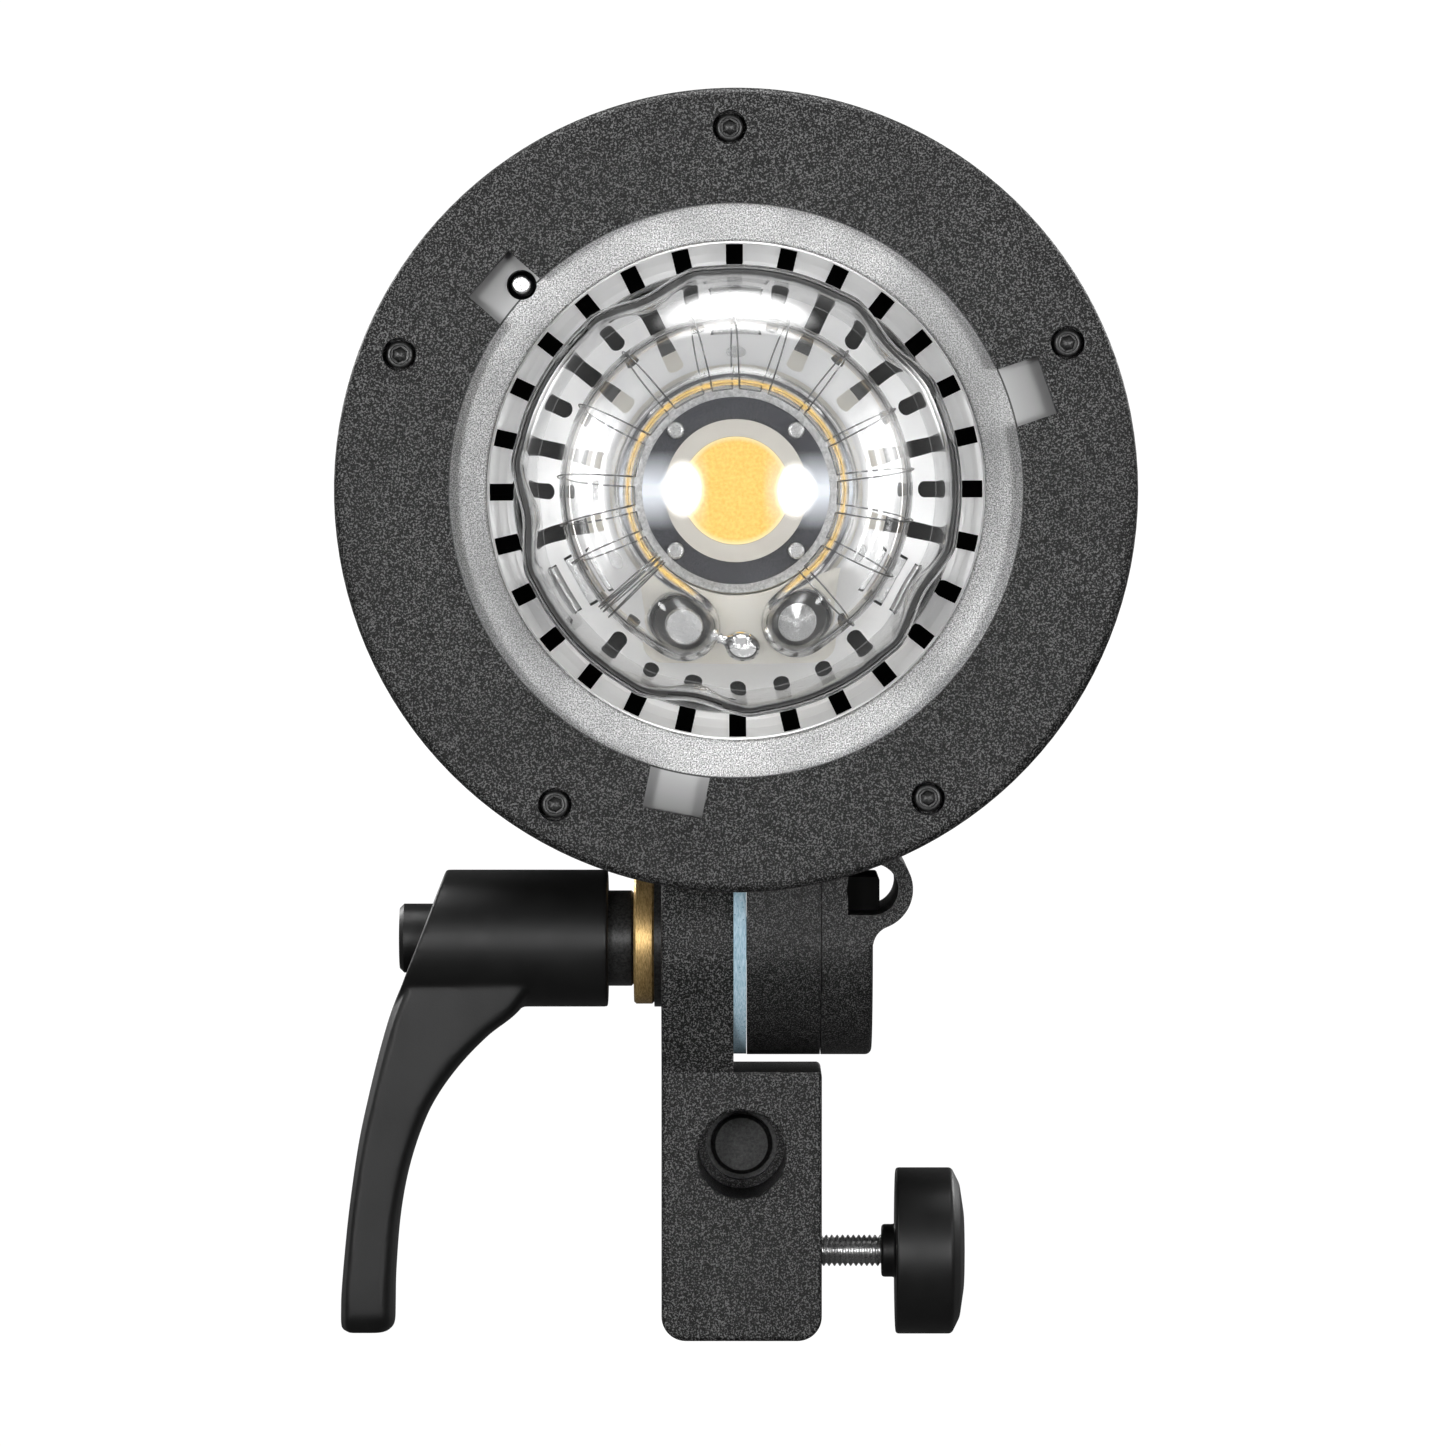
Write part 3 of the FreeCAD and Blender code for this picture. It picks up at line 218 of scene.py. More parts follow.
def radius_from_axis(g):
    """Distance from the lamp's axis in metres, and the offset coordinates."""
    local = g.scaled((1.0, 1.0, 1.0), (HEAD_X, 0.0, HEAD_Z))
    flat = g.node("VectorMath", {0: local, 1: (1.0, 0.0, 1.0)}, operation="MULTIPLY")
    length = g.node("VectorMath", {0: flat.outputs[0]}, operation="LENGTH")
    return length.outputs["Value"], local


def turned_rings(name, dark, pale, rough, pitch_mm, depth_mm):
    """Metal spun about the lamp's axis: fine concentric tool marks, a soft haze and a faint
    painted glow.
    """
    g = Graph(name)
    radius = radius_from_axis(g)[0]
    rings = g.math("SINE", g.math("MULTIPLY", radius, math.tau / (pitch_mm * MM)))
    grain = g.noise(0.22, 2.0)
    cloud = g.noise(12.0, 2.0)
    height = g.math("ADD", g.math("MULTIPLY", rings, 0.35), grain)
    g.set(Base_Color=g.blend(g.span(grain, 0.3, 0.7), dark, pale), Metallic=0.3)
    g.set(Roughness=g.span(cloud, 0.3, 0.7, rough - 0.04, rough + 0.06))
    # Painted light: a faint white glow, though the reflector is no lamp.
    g.set(Emission_Color=(1.0, 1.0, 1.0), Emission_Strength=0.15)
    return g.set(Normal=g.bump(height, depth_mm)).material


def glass(name, tint, rough=0.0, ior=1.46, ripple_mm=0.01):
    """Clear glass with very slight drawing ripples."""
    g = Graph(name)
    ripple = g.noise(7.0, 1.0)
    film = g.noise(3.0, 3.0)
    g.set(Base_Color=g.blend(g.span(film, 0.4, 0.8, 0.0, 0.6), (1.0, 1.0, 1.0), tint))
    g.set(Transmission_Weight=1.0, IOR=ior, Roughness=rough)
    return g.set(Normal=g.bump(ripple, ripple_mm)).material


def painted_glare_lobes(g, inner, outer, height):
    """Two soft lobes left and right of the lamp's axis, where the lit emitter's glare is
    painted.
    """
    radius, local = radius_from_axis(g)
    split = g.node("SeparateXYZ", {0: local})
    side = g.math("ABSOLUTE", split.outputs["X"])
    up = g.math("ABSOLUTE", split.outputs["Z"])
    rise = g.span(side, inner * MM, outer * MM)
    return radius, g.math("MULTIPLY", rise, g.span(up, height * MM, 0.0))


def led_plate_material():
    """A dark satin metal board with painted glare left and right beside the lit emitter."""
    g = Graph("led_board")
    painted_glare_share = painted_glare_lobes(g, 7.0, 13.0, 7.0)[1]
    grain = g.noise(0.35, 3.0)
    board = g.blend(g.span(grain, 0.35, 0.65), (0.03, 0.032, 0.04), (0.07, 0.072, 0.085))
    # Painted glare: the board is whitened and made to glow in the two lobes.
    g.set(Base_Color=g.blend(painted_glare_share, board, (0.90, 0.94, 1.0)), Metallic=0.3)
    g.set(Roughness=g.span(grain, 0.3, 0.7, 0.48, 0.60))
    g.set(Emission_Color=g.blend(painted_glare_share, grey(0.0), (0.90, 0.94, 1.0)), Emission_Strength=0.3)
    return g.set(Normal=g.bump(grain, 0.006)).material


def phosphor_material():
    """Lit yellow phosphor under clear gel, with painted glare whitening it towards its left
    and right edges.
    """
    g = Graph("phosphor_gel")
    radius, painted_glare_share = painted_glare_lobes(g, 4.5, 10.0, 8.0)
    grain = g.noise(0.6, 4.0)
    gel = g.blend(g.span(grain, 0.35, 0.65), (0.84, 0.50, 0.09), (0.94, 0.62, 0.15))
    gel = g.blend(g.span(radius, 0.0085, 0.0095), gel, (0.95, 0.78, 0.42))
    # Painted glare: whiter towards the left and right, in the colour and in the glow.
    colour = g.blend(painted_glare_share, gel, (1.0, 0.97, 0.88))
    g.set(Base_Color=g.blend(0.5, colour, grey(0.0)), Roughness=0.45)
    g.set(Emission_Color=colour, Emission_Strength=0.72, Specular_IOR_Level=0.3)
    return g.set(Normal=g.bump(grain, 0.01)).material


def fibre_material():
    """Pressed blue friction fibre with loose pale strands and dark flecks."""
    g = Graph("blue_fibre")
    strands = g.noise(0.5, 4.0, 0.7, g.scaled((3.0, 1.0, 0.35)))
    flecks = g.cells(0.9)
    colour = g.blend(g.span(strands, 0.35, 0.65), (0.20, 0.34, 0.43), (0.48, 0.61, 0.69))
    colour = g.blend(g.span(flecks, 0.18, 0.05), colour, (0.06, 0.12, 0.18))
    g.set(Base_Color=colour, Roughness=0.85)
    return g.set(Normal=g.bump(strands, 0.08)).material


def display_material():
    """A smoked window over a dark panel, with faint segment blocks behind it."""
    g = Graph("smoked_display")
    low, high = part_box("display_window")
    centre = ((low.x + high.x) / 2, 0.0, (low.z + high.z) / 2)
    grid = g.node("TexBrick", {"Vector": g.scaled((1.0, 1.0, 1.0), centre),
                               "Scale": 1.0, "Mortar Size": 0.0006,
                               "Brick Width": 0.012, "Row Height": 0.006,
                               "Color1": grey(0.02), "Color2": (0.02, 0.03, 0.035),
                               "Mortar": grey(0.006)})
    dust = g.noise(1.4, 4.0)
    g.set(Base_Color=g.blend(g.span(dust, 0.55, 0.8, 0.0, 0.4), grid.outputs["Color"],
                             grey(0.06)))
    g.set(Roughness=g.span(dust, 0.3, 0.7, 0.06, 0.14), Coat_Weight=1.0, Coat_Roughness=0.03)
    return g.set(Normal=g.bump(dust, 0.002)).material


def board_material():
    """A green circuit board with copper traces and pale pads."""
    g = Graph("circuit_board")
    traces = g.node("TexBrick", {"Vector": g.coords, "Scale": 1.0, "Mortar Size": 0.0004,
                                 "Brick Width": 0.006, "Row Height": 0.0025,
                                 "Color1": (0.01, 0.06, 0.03), "Color2": (0.015, 0.08, 0.04),
                                 "Mortar": (0.20, 0.14, 0.04)})
    pads = g.span(g.cells(3.1), 0.14, 0.10)
    colour = g.blend(pads, traces.outputs["Color"], (0.55, 0.55, 0.50))
    g.set(Base_Color=colour, Roughness=g.span(g.noise(1.0), 0.3, 0.7, 0.3, 0.5))
    return g.set(Normal=g.bump(traces.outputs["Fac"], 0.03)).material


MATERIALS = {
    "black_casting": powder_coat("powder_coat_black", grey(0.001), grey(0.125)),
    "fine_coat": powder_coat("fine_coat_black", grey(0.001), grey(0.095), 0.45, 0.26, 0.05),
    # Near-black and nearly matt: painted shade for parts that sit in shadow behind or inside
    # other parts.
    "hollow_black": satin("black_and_painted_shade", grey(0.002), grey(0.004), 0.85, 0.5, 0.02, 0.0,
                          0.1),
    "black_housing": satin("housing_black", grey(0.007), grey(0.014), 0.48, 0.5, 0.02),
    "bare_casting": blasted("blasted_aluminium", grey(0.16), grey(0.80)),
    "reflector": turned_rings("satin_reflector", grey(0.88), grey(0.98), 0.34, 0.5, 0.004),
    "dome_glass": glass("clear_dome", (0.97, 0.98, 0.98)),
    "tube_glass": glass("quartz_tube", (0.97, 0.97, 0.98)),
    "wire": machined("trigger_wire", grey(0.10), grey(0.26), 0.3, (1.0, 1.0, 1.0)),
    "chrome": machined("silvered_tip", grey(0.74), grey(0.82), 0.07, (1.0, 1.0, 1.0), 0.0005,
                       2.0),
    "steel": machined("bright_steel", grey(0.50), grey(0.68), 0.27, (1.0, 1.0, 1.0), 0.003,
                      0.22),
    "black_steel": machined("blackened_steel", grey(0.010), grey(0.05), 0.34,
                            (1.0, 1.0, 1.0), 0.012, 0.5, 0.5),
    "spring_steel": machined("spring_steel", grey(0.35), grey(0.6), 0.28, (1.0, 1.0, 1.0)),
    "brass": machined("brushed_brass", (0.34, 0.20, 0.065), (0.84, 0.60, 0.27), 0.40,
                      (4.0, 0.5, 0.5), 0.012, 0.5, 0.8),
    "blue_fibre": fibre_material(),
    "black_plastic": satin("satin_plastic", grey(0.003), grey(0.006), 0.44, 0.35, 0.016,
                           0.0, 0.32),
    "grip_rubber": satin("grip_rubber", grey(0.014), grey(0.026), 0.72, 0.4, 0.05),
    "ceramic": satin("white_ceramic", (0.96, 0.91, 0.80), (0.99, 0.96, 0.88), 0.32, 0.5,
                     0.006, 0.3),
    "led_plate": led_plate_material(),
    "led_dam": satin("silicone_dam", (0.66, 0.62, 0.56), (0.76, 0.73, 0.66), 0.55, 0.6,
                     0.01),
    "phosphor": phosphor_material(),
    "heat_sink": machined("cast_heat_sink", grey(0.45), grey(0.75), 0.40, (1.0, 0.2, 1.0)),
    "capacitor": satin("capacitor_sleeve", (0.010, 0.014, 0.04), (0.02, 0.03, 0.07), 0.35),
    "circuit_board": board_material(),
    "display": display_material(),
    "button_grey": satin("button_grey", grey(0.06), grey(0.10), 0.55, 0.4, 0.02),
    "switch_red": satin("switch_red", (0.30, 0.012, 0.010), (0.42, 0.02, 0.015), 0.32),
    "sensor_red": satin("sensor_window", (0.10, 0.004, 0.004), (0.16, 0.008, 0.008), 0.08,
                        2.0, 0.004, 1.0),
}


# ------------------------------------------------------------ mesh helpers

def new_piece(name, bm, node, slot, smooth_angle=40.0, also=(), body=None):
    """Turn a bmesh into a piece on its body, standing for a CAD node if one is named."""
    mesh = bpy.data.meshes.new(name)
    bmesh.ops.recalc_face_normals(bm, faces=bm.faces)
    bm.to_mesh(mesh)
    bm.free()
    piece = bpy.data.objects.new(name, mesh)
    bpy.context.scene.collection.objects.link(piece)
    dress(piece, slot, smooth_angle)
    if node:
        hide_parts(node, *also)
    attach(piece, body or BODY_OF[node])
    return piece


def dress(piece, slot, smooth_angle=40.0):
    mesh = piece.data
    mesh.materials.clear()
    mesh.materials.append(MATERIALS[slot])
    mesh.shade_smooth()
    mesh.set_sharp_from_angle(angle=math.radians(smooth_angle))


def add_rings(bm, rings, close_rings=True, cap_start=True, cap_end=True, loop=False):
    """Skin a list of point rings; each ring has the same number of points."""
    made = [[bm.verts.new(point) for point in ring] for ring in rings]
    count = len(rings[0])
    pairs = list(zip(made, made[1:]))
    if loop:
        pairs.append((made[-1], made[0]))
    for first, second in pairs:
        for i in range(count if close_rings else count - 1):
            j = (i + 1) % count
            bm.faces.new((first[i], first[j], second[j], second[i]))
    if cap_start and not loop:
        bm.faces.new(made[0][::-1])
    if cap_end and not loop:
        bm.faces.new(made[-1])
    return made


def around_head(radius, y, degrees):
    """A point by radius and depth in millimetres about the lamp's axis."""
    turn = math.radians(degrees)
    return Vector((HEAD_X + radius * MM * math.cos(turn), y * MM,
                   HEAD_Z + radius * MM * math.sin(turn)))


def around_x(x, radius, degrees, z):
    """A point by x and radius in millimetres about an axis along X at height z."""
    turn = math.radians(degrees)
    return Vector((x * MM, radius * MM * math.cos(turn), z + radius * MM * math.sin(turn)))


def smooth_path(points, steps):
    """Catmull-Rom points through the given ones."""
    padded = [points[0] * 2 - points[1]] + points + [points[-1] * 2 - points[-2]]
    path = []
    for a, b, c, d in zip(padded, padded[1:], padded[2:], padded[3:]):
        for step in range(steps):
            t = step / steps
            path.append(0.5 * (2 * b + (c - a) * t + (2 * a - 5 * b + 4 * c - d) * t * t
                               + (3 * b - a - 3 * c + d) * t ** 3))
    return path + [points[-1]]


def tube_rings(path, radius, sides):
    """Circles of one radius along a path, carried without twist."""
    rings = []
    heading = (path[1] - path[0]).normalized()
    across = heading.orthogonal().normalized()
    for index, point in enumerate(path):
        ahead = path[min(index + 1, len(path) - 1)] - path[max(index - 1, 0)]
        ahead.normalize()
        across = heading.rotation_difference(ahead) @ across
        heading = ahead
        up = heading.cross(across)
        rings.append([point + radius * (across * math.cos(math.tau * k / sides)
                                        + up * math.sin(math.tau * k / sides))
                      for k in range(sides)])
    return rings


def round_wire(name, path, radius_mm, node, look):
    """A round wire along a path, swept as a curve and kept as a mesh."""
    curve = bpy.data.curves.new(name, "CURVE")
    curve.dimensions = "3D"
    curve.bevel_depth = radius_mm * MM
    curve.bevel_resolution = 3
    curve.use_fill_caps = True
    line = curve.splines.new("POLY")
    line.points.add(len(path) - 1)
    for target, point in zip(line.points, path):
        target.co = (*point, 1.0)
    line.use_smooth = True
    swept = bpy.data.objects.new(name, curve)
    bpy.context.scene.collection.objects.link(swept)
    graph = bpy.context.evaluated_depsgraph_get()
    mesh = bpy.data.meshes.new_from_object(swept.evaluated_get(graph))
    bpy.data.objects.remove(swept)
    bpy.data.curves.remove(curve)
    piece = bpy.data.objects.new(name, mesh)
    bpy.context.scene.collection.objects.link(piece)
    mesh.materials.clear()
    mesh.materials.append(MATERIALS[look])
    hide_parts(node)
    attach(piece, BODY_OF[node])


# ------------------------------------------------------------ glass dome

DOME_R = 38.8
DOME_WALL = 1.6
DOME_FOOT = -66.0
DOME_SHOULDER = -108.0
DOME_TIP = -132.0
DIMPLE_ANGLES = (43.0, 115.0, 187.0, 259.0, 331.0)
DIMPLE_Y = -106.0


def dimple(degrees, y, depth):
    """How far the wall is pinched in, in millimetres, with raised lips at the sides."""
    inward = 0.0
    fade = math.exp(-((y - DIMPLE_Y) / 6.5) ** 2)
    ripple_fade = math.exp(-((y - DIMPLE_Y - 5.0) / 2.5) ** 2)
    for centre in DIMPLE_ANGLES:
        off = (degrees - centre + 180.0) % 360.0 - 180.0
        if abs(off) > 40.0:
            continue
        inward += depth * math.exp(-(off / 7.5) ** 2) * fade
        inward -= 0.30 * math.exp(-((abs(off) - 14.5) / 3.0) ** 2) * fade
        inward += 0.16 * math.sin(off * 2.1) * math.exp(-(off / 5.0) ** 2) * ripple_fade
    return inward


def dome_wall(radius, tip, sides, depth):
    """Rings from the foot to the tip of one wall."""
    levels = []
    rows = 44
    for row in range(rows + 1):
        levels.append((radius, DOME_FOOT + (DOME_SHOULDER - DOME_FOOT) * row / rows))
    for row in range(1, 40):
        turn = math.radians(90.0 * row / 40)
        levels.append((radius * math.cos(turn),
                       DOME_SHOULDER + (tip - DOME_SHOULDER) * math.sin(turn)))
    rings = []
    for level_radius, y in levels:
        ring = []
        for side in range(sides):
            degrees = 360.0 * side / sides
            ring.append(around_head(level_radius - dimple(degrees, y, depth), y, degrees))
        rings.append(ring)
    return rings


def build_dome():
    bm = bmesh.new()
    sides = 480
    outer = add_rings(bm, dome_wall(DOME_R, DOME_TIP, sides, 3.4), cap_start=False)
    inner = add_rings(bm, dome_wall(DOME_R - DOME_WALL, DOME_TIP + DOME_WALL, sides, 3.0),
                      cap_start=False)
    for side in range(sides):
        after = (side + 1) % sides
        bm.faces.new((outer[0][side], outer[0][after], inner[0][after], inner[0][side]))
    new_piece("dome_glass_wall", bm, "glass_dome", "dome_glass", 60.0)


# ------------------------------------------------------------ flash tube

TUBE_RING_R = 24.2
TUBE_R = 6.3
TUBE_WALL = 1.0
TUBE_SIDES = 56
TUBE_Y = -100.0
ELBOW_R = 6.8
LEG_R = math.hypot(TUBE_RING_R, ELBOW_R)
LEG_TURN = math.degrees(math.atan2(ELBOW_R, TUBE_RING_R))
LEG_ANGLES = (-65.0, 249.0)
RING_START = LEG_ANGLES[0] + LEG_TURN
RING_END = LEG_ANGLES[1] - LEG_TURN
SOCKET_FACE = -84.0
PIP_Y = -90.5


def elbow_points(ring_angle, sign):
    """Centre line from a leg's foot through its elbow to the ring."""
    base = around_head(TUBE_RING_R, TUBE_Y, ring_angle)
    turn = math.radians(ring_angle)
    tangent = Vector((-math.sin(turn), 0.0, math.cos(turn))) * sign
    points = []
    for step in range(15):
        bend = math.radians(90.0 - 90.0 * step / 14)
        points.append(base + tangent * (ELBOW_R * MM * math.sin(bend))
                      + Vector((0.0, ELBOW_R * MM * (1 - math.cos(bend)), 0.0)))
    return points


def tube_path(foot_y):
    start = elbow_points(RING_START, -1)
    end = elbow_points(RING_END, 1)[::-1]
    arc = [around_head(TUBE_RING_R, TUBE_Y, RING_START + (RING_END - RING_START) * k / 130)
           for k in range(1, 130)]
    first = Vector((start[0].x, foot_y * MM, start[0].z))
    last = Vector((end[-1].x, foot_y * MM, end[-1].z))
    legs = [first + (start[0] - first) * k / 4 for k in range(4)]
    feet = [end[-1] + (last - end[-1]) * k / 4 for k in range(1, 5)]
    return legs + start + arc + end + feet


def build_tube():
    bm = bmesh.new()
    add_rings(bm, tube_rings(tube_path(SOCKET_FACE), TUBE_R * MM, TUBE_SIDES))
    inner = add_rings(bm, tube_rings(tube_path(SOCKET_FACE - 1.6),
                                     (TUBE_R - TUBE_WALL) * MM, TUBE_SIDES))
    piece = new_piece("quartz_tube_body", bm, "flash_tube", "tube_glass", 60.0)
    flip_inner(piece, len(inner) * TUBE_SIDES)


def build_pip():
    """The drop where the tube was filled and sealed, on its thin neck."""
    bm = bmesh.new()
    leg = around_head(LEG_R, 0.0, LEG_ANGLES[1])
    tip = around_head(27.0, 0.0, -88.1)
    along = (tip - leg).normalized()
    reach = (tip - leg).length / MM
    profile = [(TUBE_R + 0.05, 1.1), (TUBE_R + 0.5, 0.85), (reach - 3.3, 0.75),
               (reach - 2.7, 1.1)]
    profile += [(reach + 2.8 * math.cos(math.radians(a)) * (1.2 if a < 90 else 1.0),
                 2.7 * math.sin(math.radians(a))) for a in range(147, 6, -7)]
    up = Vector((0.0, 1.0, 0.0))
    side = along.cross(up)
    base = Vector((leg.x, PIP_Y * MM, leg.z))
    rings = [[base + along * (x * MM) + (up * math.cos(math.tau * k / 40)
                                         + side * math.sin(math.tau * k / 40)) * (r * MM)
              for k in range(40)] for x, r in profile]
    add_rings(bm, rings)
    piece = new_piece("filling_tip", bm, "flash_tube", "tube_glass", 60.0)
    piece.data.materials[0] = MATERIALS["chrome"]


def flip_inner(piece, count):
    """Point the bore's faces into the bore, so that the tube is a thin-walled shell."""
    mesh = piece.data
    bm = bmesh.new()
    bm.from_mesh(mesh)
    bm.verts.ensure_lookup_table()
    rings = len(tube_path(SOCKET_FACE))
    first = rings * TUBE_SIDES
    inner = {bm.verts[i] for i in range(first, first + count)}
    faces = [face for face in bm.faces if all(vert in inner for vert in face.verts)]
    bmesh.ops.reverse_faces(bm, faces=faces)
    bm.to_mesh(mesh)
    bm.free()


WIRE_R = 0.14


def build_trigger_wire():
    """One wire that hops round the tube in narrow loops, joined by short links."""
    draw = random.Random(7)
    loop_angles = (-50, -30, -10, 7, 27, 50, 74, 90, 106, 129, 150, 175, 190, 205)
    wrap = TUBE_R + 0.42
    path = []
    for angle in loop_angles:
        spread = draw.uniform(1.8, 3.0)
        lean = draw.uniform(-1.6, 1.6)
        for step in range(41):
            t = step / 40
            turn = math.tau * t
            swing = spread * math.cos(math.pi * t) + lean * math.sin(math.pi * t)
            radius = TUBE_RING_R - wrap * math.cos(turn)
            y = TUBE_Y - wrap * math.sin(turn)
            path.append(around_head(radius, y, angle - swing))
    for step in range(121):
        t = step / 120
        turn = math.tau * 4 * t
        radius = TUBE_RING_R - (wrap + 0.1) * math.cos(turn)
        y = TUBE_Y - (wrap + 0.1) * math.sin(turn)
        path.append(around_head(radius, y, 219 + 6 * t + 0.6 * math.sin(9 * t)))
    full = []
    for here, after in zip(path, path[1:]):
        full.append(here)
        gap = (after - here).length
        if gap > 2.0 * MM:
            sag = max(2, int(gap / (1.0 * MM)))
            for k in range(1, sag):
                point = here.lerp(after, k / sag)
                out = Vector((point.x - HEAD_X, 0.0, point.z - HEAD_Z))
                level = (TUBE_RING_R - wrap - 0.05) * MM
                wave = 0.12 * MM * math.sin(9.0 * k / sag)
                point = Vector((HEAD_X, point.y + wave, HEAD_Z)) + out.normalized() * level
                full.append(point)
    full.append(path[-1])
    round_wire("trigger_wire_loops", full, WIRE_R, "trigger_wire", "wire")


# ------------------------------------------------------------ ring screws

RING_SCREW_R = 63.1
RING_SCREW_ANGLES = (24.0, 91.0, 158.0, 240.0, 302.0)
HEAD_FRONT = -89.0
HEAD_R = 2.4
HEAD_BACK = -86.0


def socket_profile():
    """(radius, y, hexagonal) from the head's rear rim round its front and into the socket."""
    rim = [(HEAD_R, HEAD_BACK, False), (HEAD_R, HEAD_FRONT + 0.45, False)]
    rim += [(HEAD_R - 0.45 + 0.45 * math.cos(math.radians(a)),
             HEAD_FRONT + 0.45 - 0.45 * math.sin(math.radians(a)), False)
            for a in (30, 60, 90)]
    return rim + [(1.72, HEAD_FRONT, False), (1.58, HEAD_FRONT + 0.16, False),
                  (1.40, HEAD_FRONT + 0.18, True), (1.28, HEAD_FRONT + 0.34, True),
                  (1.26, HEAD_FRONT + 1.7, True), (0.40, HEAD_FRONT + 2.0, False)]


def build_ring_screws():
    """Socket-head screws with rounded rims, each turned to its own angle."""
    draw = random.Random(3)
    bm = bmesh.new()
    for place in RING_SCREW_ANGLES:
        centre = around_head(RING_SCREW_R, 0.0, place)
        twist = draw.uniform(0.0, 60.0)
        rings = []
        for radius, y, hexagonal in socket_profile():
            ring = []
            for k in range(72):
                turn = 5.0 * k
                flat = math.cos(math.radians(turn % 60.0 - 30.0))
                reach = radius * (math.cos(math.radians(30.0)) / flat if hexagonal else 1.0)
                angle = math.radians(turn + twist)
                ring.append(centre + Vector((reach * math.cos(angle), y,
                                             reach * math.sin(angle))) * MM)
            rings.append(ring)
        add_rings(bm, rings)
    new_piece("ring_screw_heads", bm, "ring_screws", "black_steel", 35.0)


# ------------------------------------------------------------ clamp lever

LEVER_OUTER = ((-73.7, 0.6), (-74.25, 1.5), (-74.25, 4.6), (-74.1, 8.6),
               (-73.3, 17.7), (-72.4, 25.5), (-70.9, 35.6), (-69.1, 44.1),
               (-66.7, 53.8), (-64.3, 61.5), (-60.4, 70.6), (-57.0, 79.7))
LEVER_INNER = ((-65.6, 0.6), (-64.4, 2.0), (-64.25, 5.2), (-64.1, 12.0),
               (-63.3, 21.9), (-61.8, 30.3), (-59.4, 38.0), (-56.5, 44.1),
               (-52.2, 50.1), (-46.9, 55.6), (-41.0, 60.4), (-36.0, 68.0))
LEVER_FOOT = 0.6
HUB_R = 12.7
HUB_RIGHT = -24.7
BUTTON_BORE_R = 6.5
INSERT_BORE_R = 9.0
LEVER_VOXEL = 0.36


def lever_section(outer, inner, half):
    """One slice of the arm: a flat front, steep sides and a rounder inner edge."""
    across = inner - outer
    width = across.length / MM
    across.normalize()
    front = [(0.0, half - 5.2), (0.25, half - 4.0), (1.05, half - 0.6), (1.35, half - 0.1),
             (1.65, half), (width - 2.3, half), (width - 1.5, half - 0.35),
             (width - 0.8, half - 1.3), (width - 0.25, half - 3.2), (width, half - 5.6)]
    points = [(u, -v) for u, v in front] + [(u, v) for u, v in reversed(front)]
    return [outer + across * (u * MM) + Vector((0.0, v * MM, 0.0)) for u, v in points]


def outer_edge_x(z):
    """The lever's outline towards -X at one height, in millimetres."""
    edge = LEVER_OUTER + ((-54.8, 86.0), (-54.2, 87.5))
    for (x0, z0), (x1, z1) in zip(edge, edge[1:]):
        if z0 <= z <= z1:
            return x0 + (x1 - x0) * (z - z0) / (z1 - z0)
    return edge[-1][0]


def bore(piece, radius, x0, x1):
    """Cut a round hole along X through the lever's axis."""
    bm = bmesh.new()
    add_rings(bm, [[around_x(x, radius, 360.0 * k / 96, TILT_Z) for k in range(96)]
                   for x in (x0, x1)])
    bmesh.ops.recalc_face_normals(bm, faces=bm.faces)
    mesh = bpy.data.meshes.new("bore")
    bm.to_mesh(mesh)
    bm.free()
    cutter = bpy.data.objects.new("bore", mesh)
    bpy.context.scene.collection.objects.link(cutter)
    cut = piece.modifiers.new("Bore", "BOOLEAN")
    cut.object = cutter
    cut.solver = "EXACT"
    apply_modifiers(piece)
    bpy.data.objects.remove(cutter)


def apply_modifiers(piece):
    graph = bpy.context.evaluated_depsgraph_get()
    shaped = bpy.data.meshes.new_from_object(piece.evaluated_get(graph))
    piece.modifiers.clear()
    piece.data = shaped


def build_lever():
    """A swept arm and a hub, fused by remeshing so that their edges flow together."""
    bm = bmesh.new()
    outer = smooth_path([Vector((x * MM, 0.0, z * MM)) for x, z in LEVER_OUTER], 6)
    inner = smooth_path([Vector((x * MM, 0.0, z * MM)) for x, z in LEVER_INNER], 6)
    sections = []
    for index, (out_point, in_point) in enumerate(zip(outer, inner)):
        share = index / (len(outer) - 1)
        foot = max(0.0, 1.0 - (out_point.z / MM - LEVER_FOOT) / 3.6)
        half = 7.4 + 2.6 * share - 1.8 * foot ** 2
        sections.append(lever_section(out_point, in_point, half))
    add_rings(bm, sections)
    right = [around_x(HUB_RIGHT, HUB_R, 360.0 * k / 120, TILT_Z) for k in range(120)]
    left = [Vector((outer_edge_x(point.z / MM) * MM, point.y, point.z)) for point in right]
    add_rings(bm, [right, left])
    bmesh.ops.recalc_face_normals(bm, faces=bm.faces)
    mesh = bpy.data.meshes.new("lever_body")
    bm.to_mesh(mesh)
    bm.free()
    piece = bpy.data.objects.new("lever_body", mesh)
    bpy.context.scene.collection.objects.link(piece)
    remesh = piece.modifiers.new("Remesh", "REMESH")
    remesh.mode = "VOXEL"
    remesh.voxel_size = LEVER_VOXEL * MM
    relax = piece.modifiers.new("Relax", "SMOOTH")
    relax.factor = 0.5
    relax.iterations = 12
    apply_modifiers(piece)
    bore(piece, BUTTON_BORE_R, -80.0, -42.0)
    bore(piece, INSERT_BORE_R, -40.0, -20.0)
    dress(piece, "black_plastic", 45.0)
    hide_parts("clamp_lever")
    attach(piece, BODY_OF["clamp_lever"])


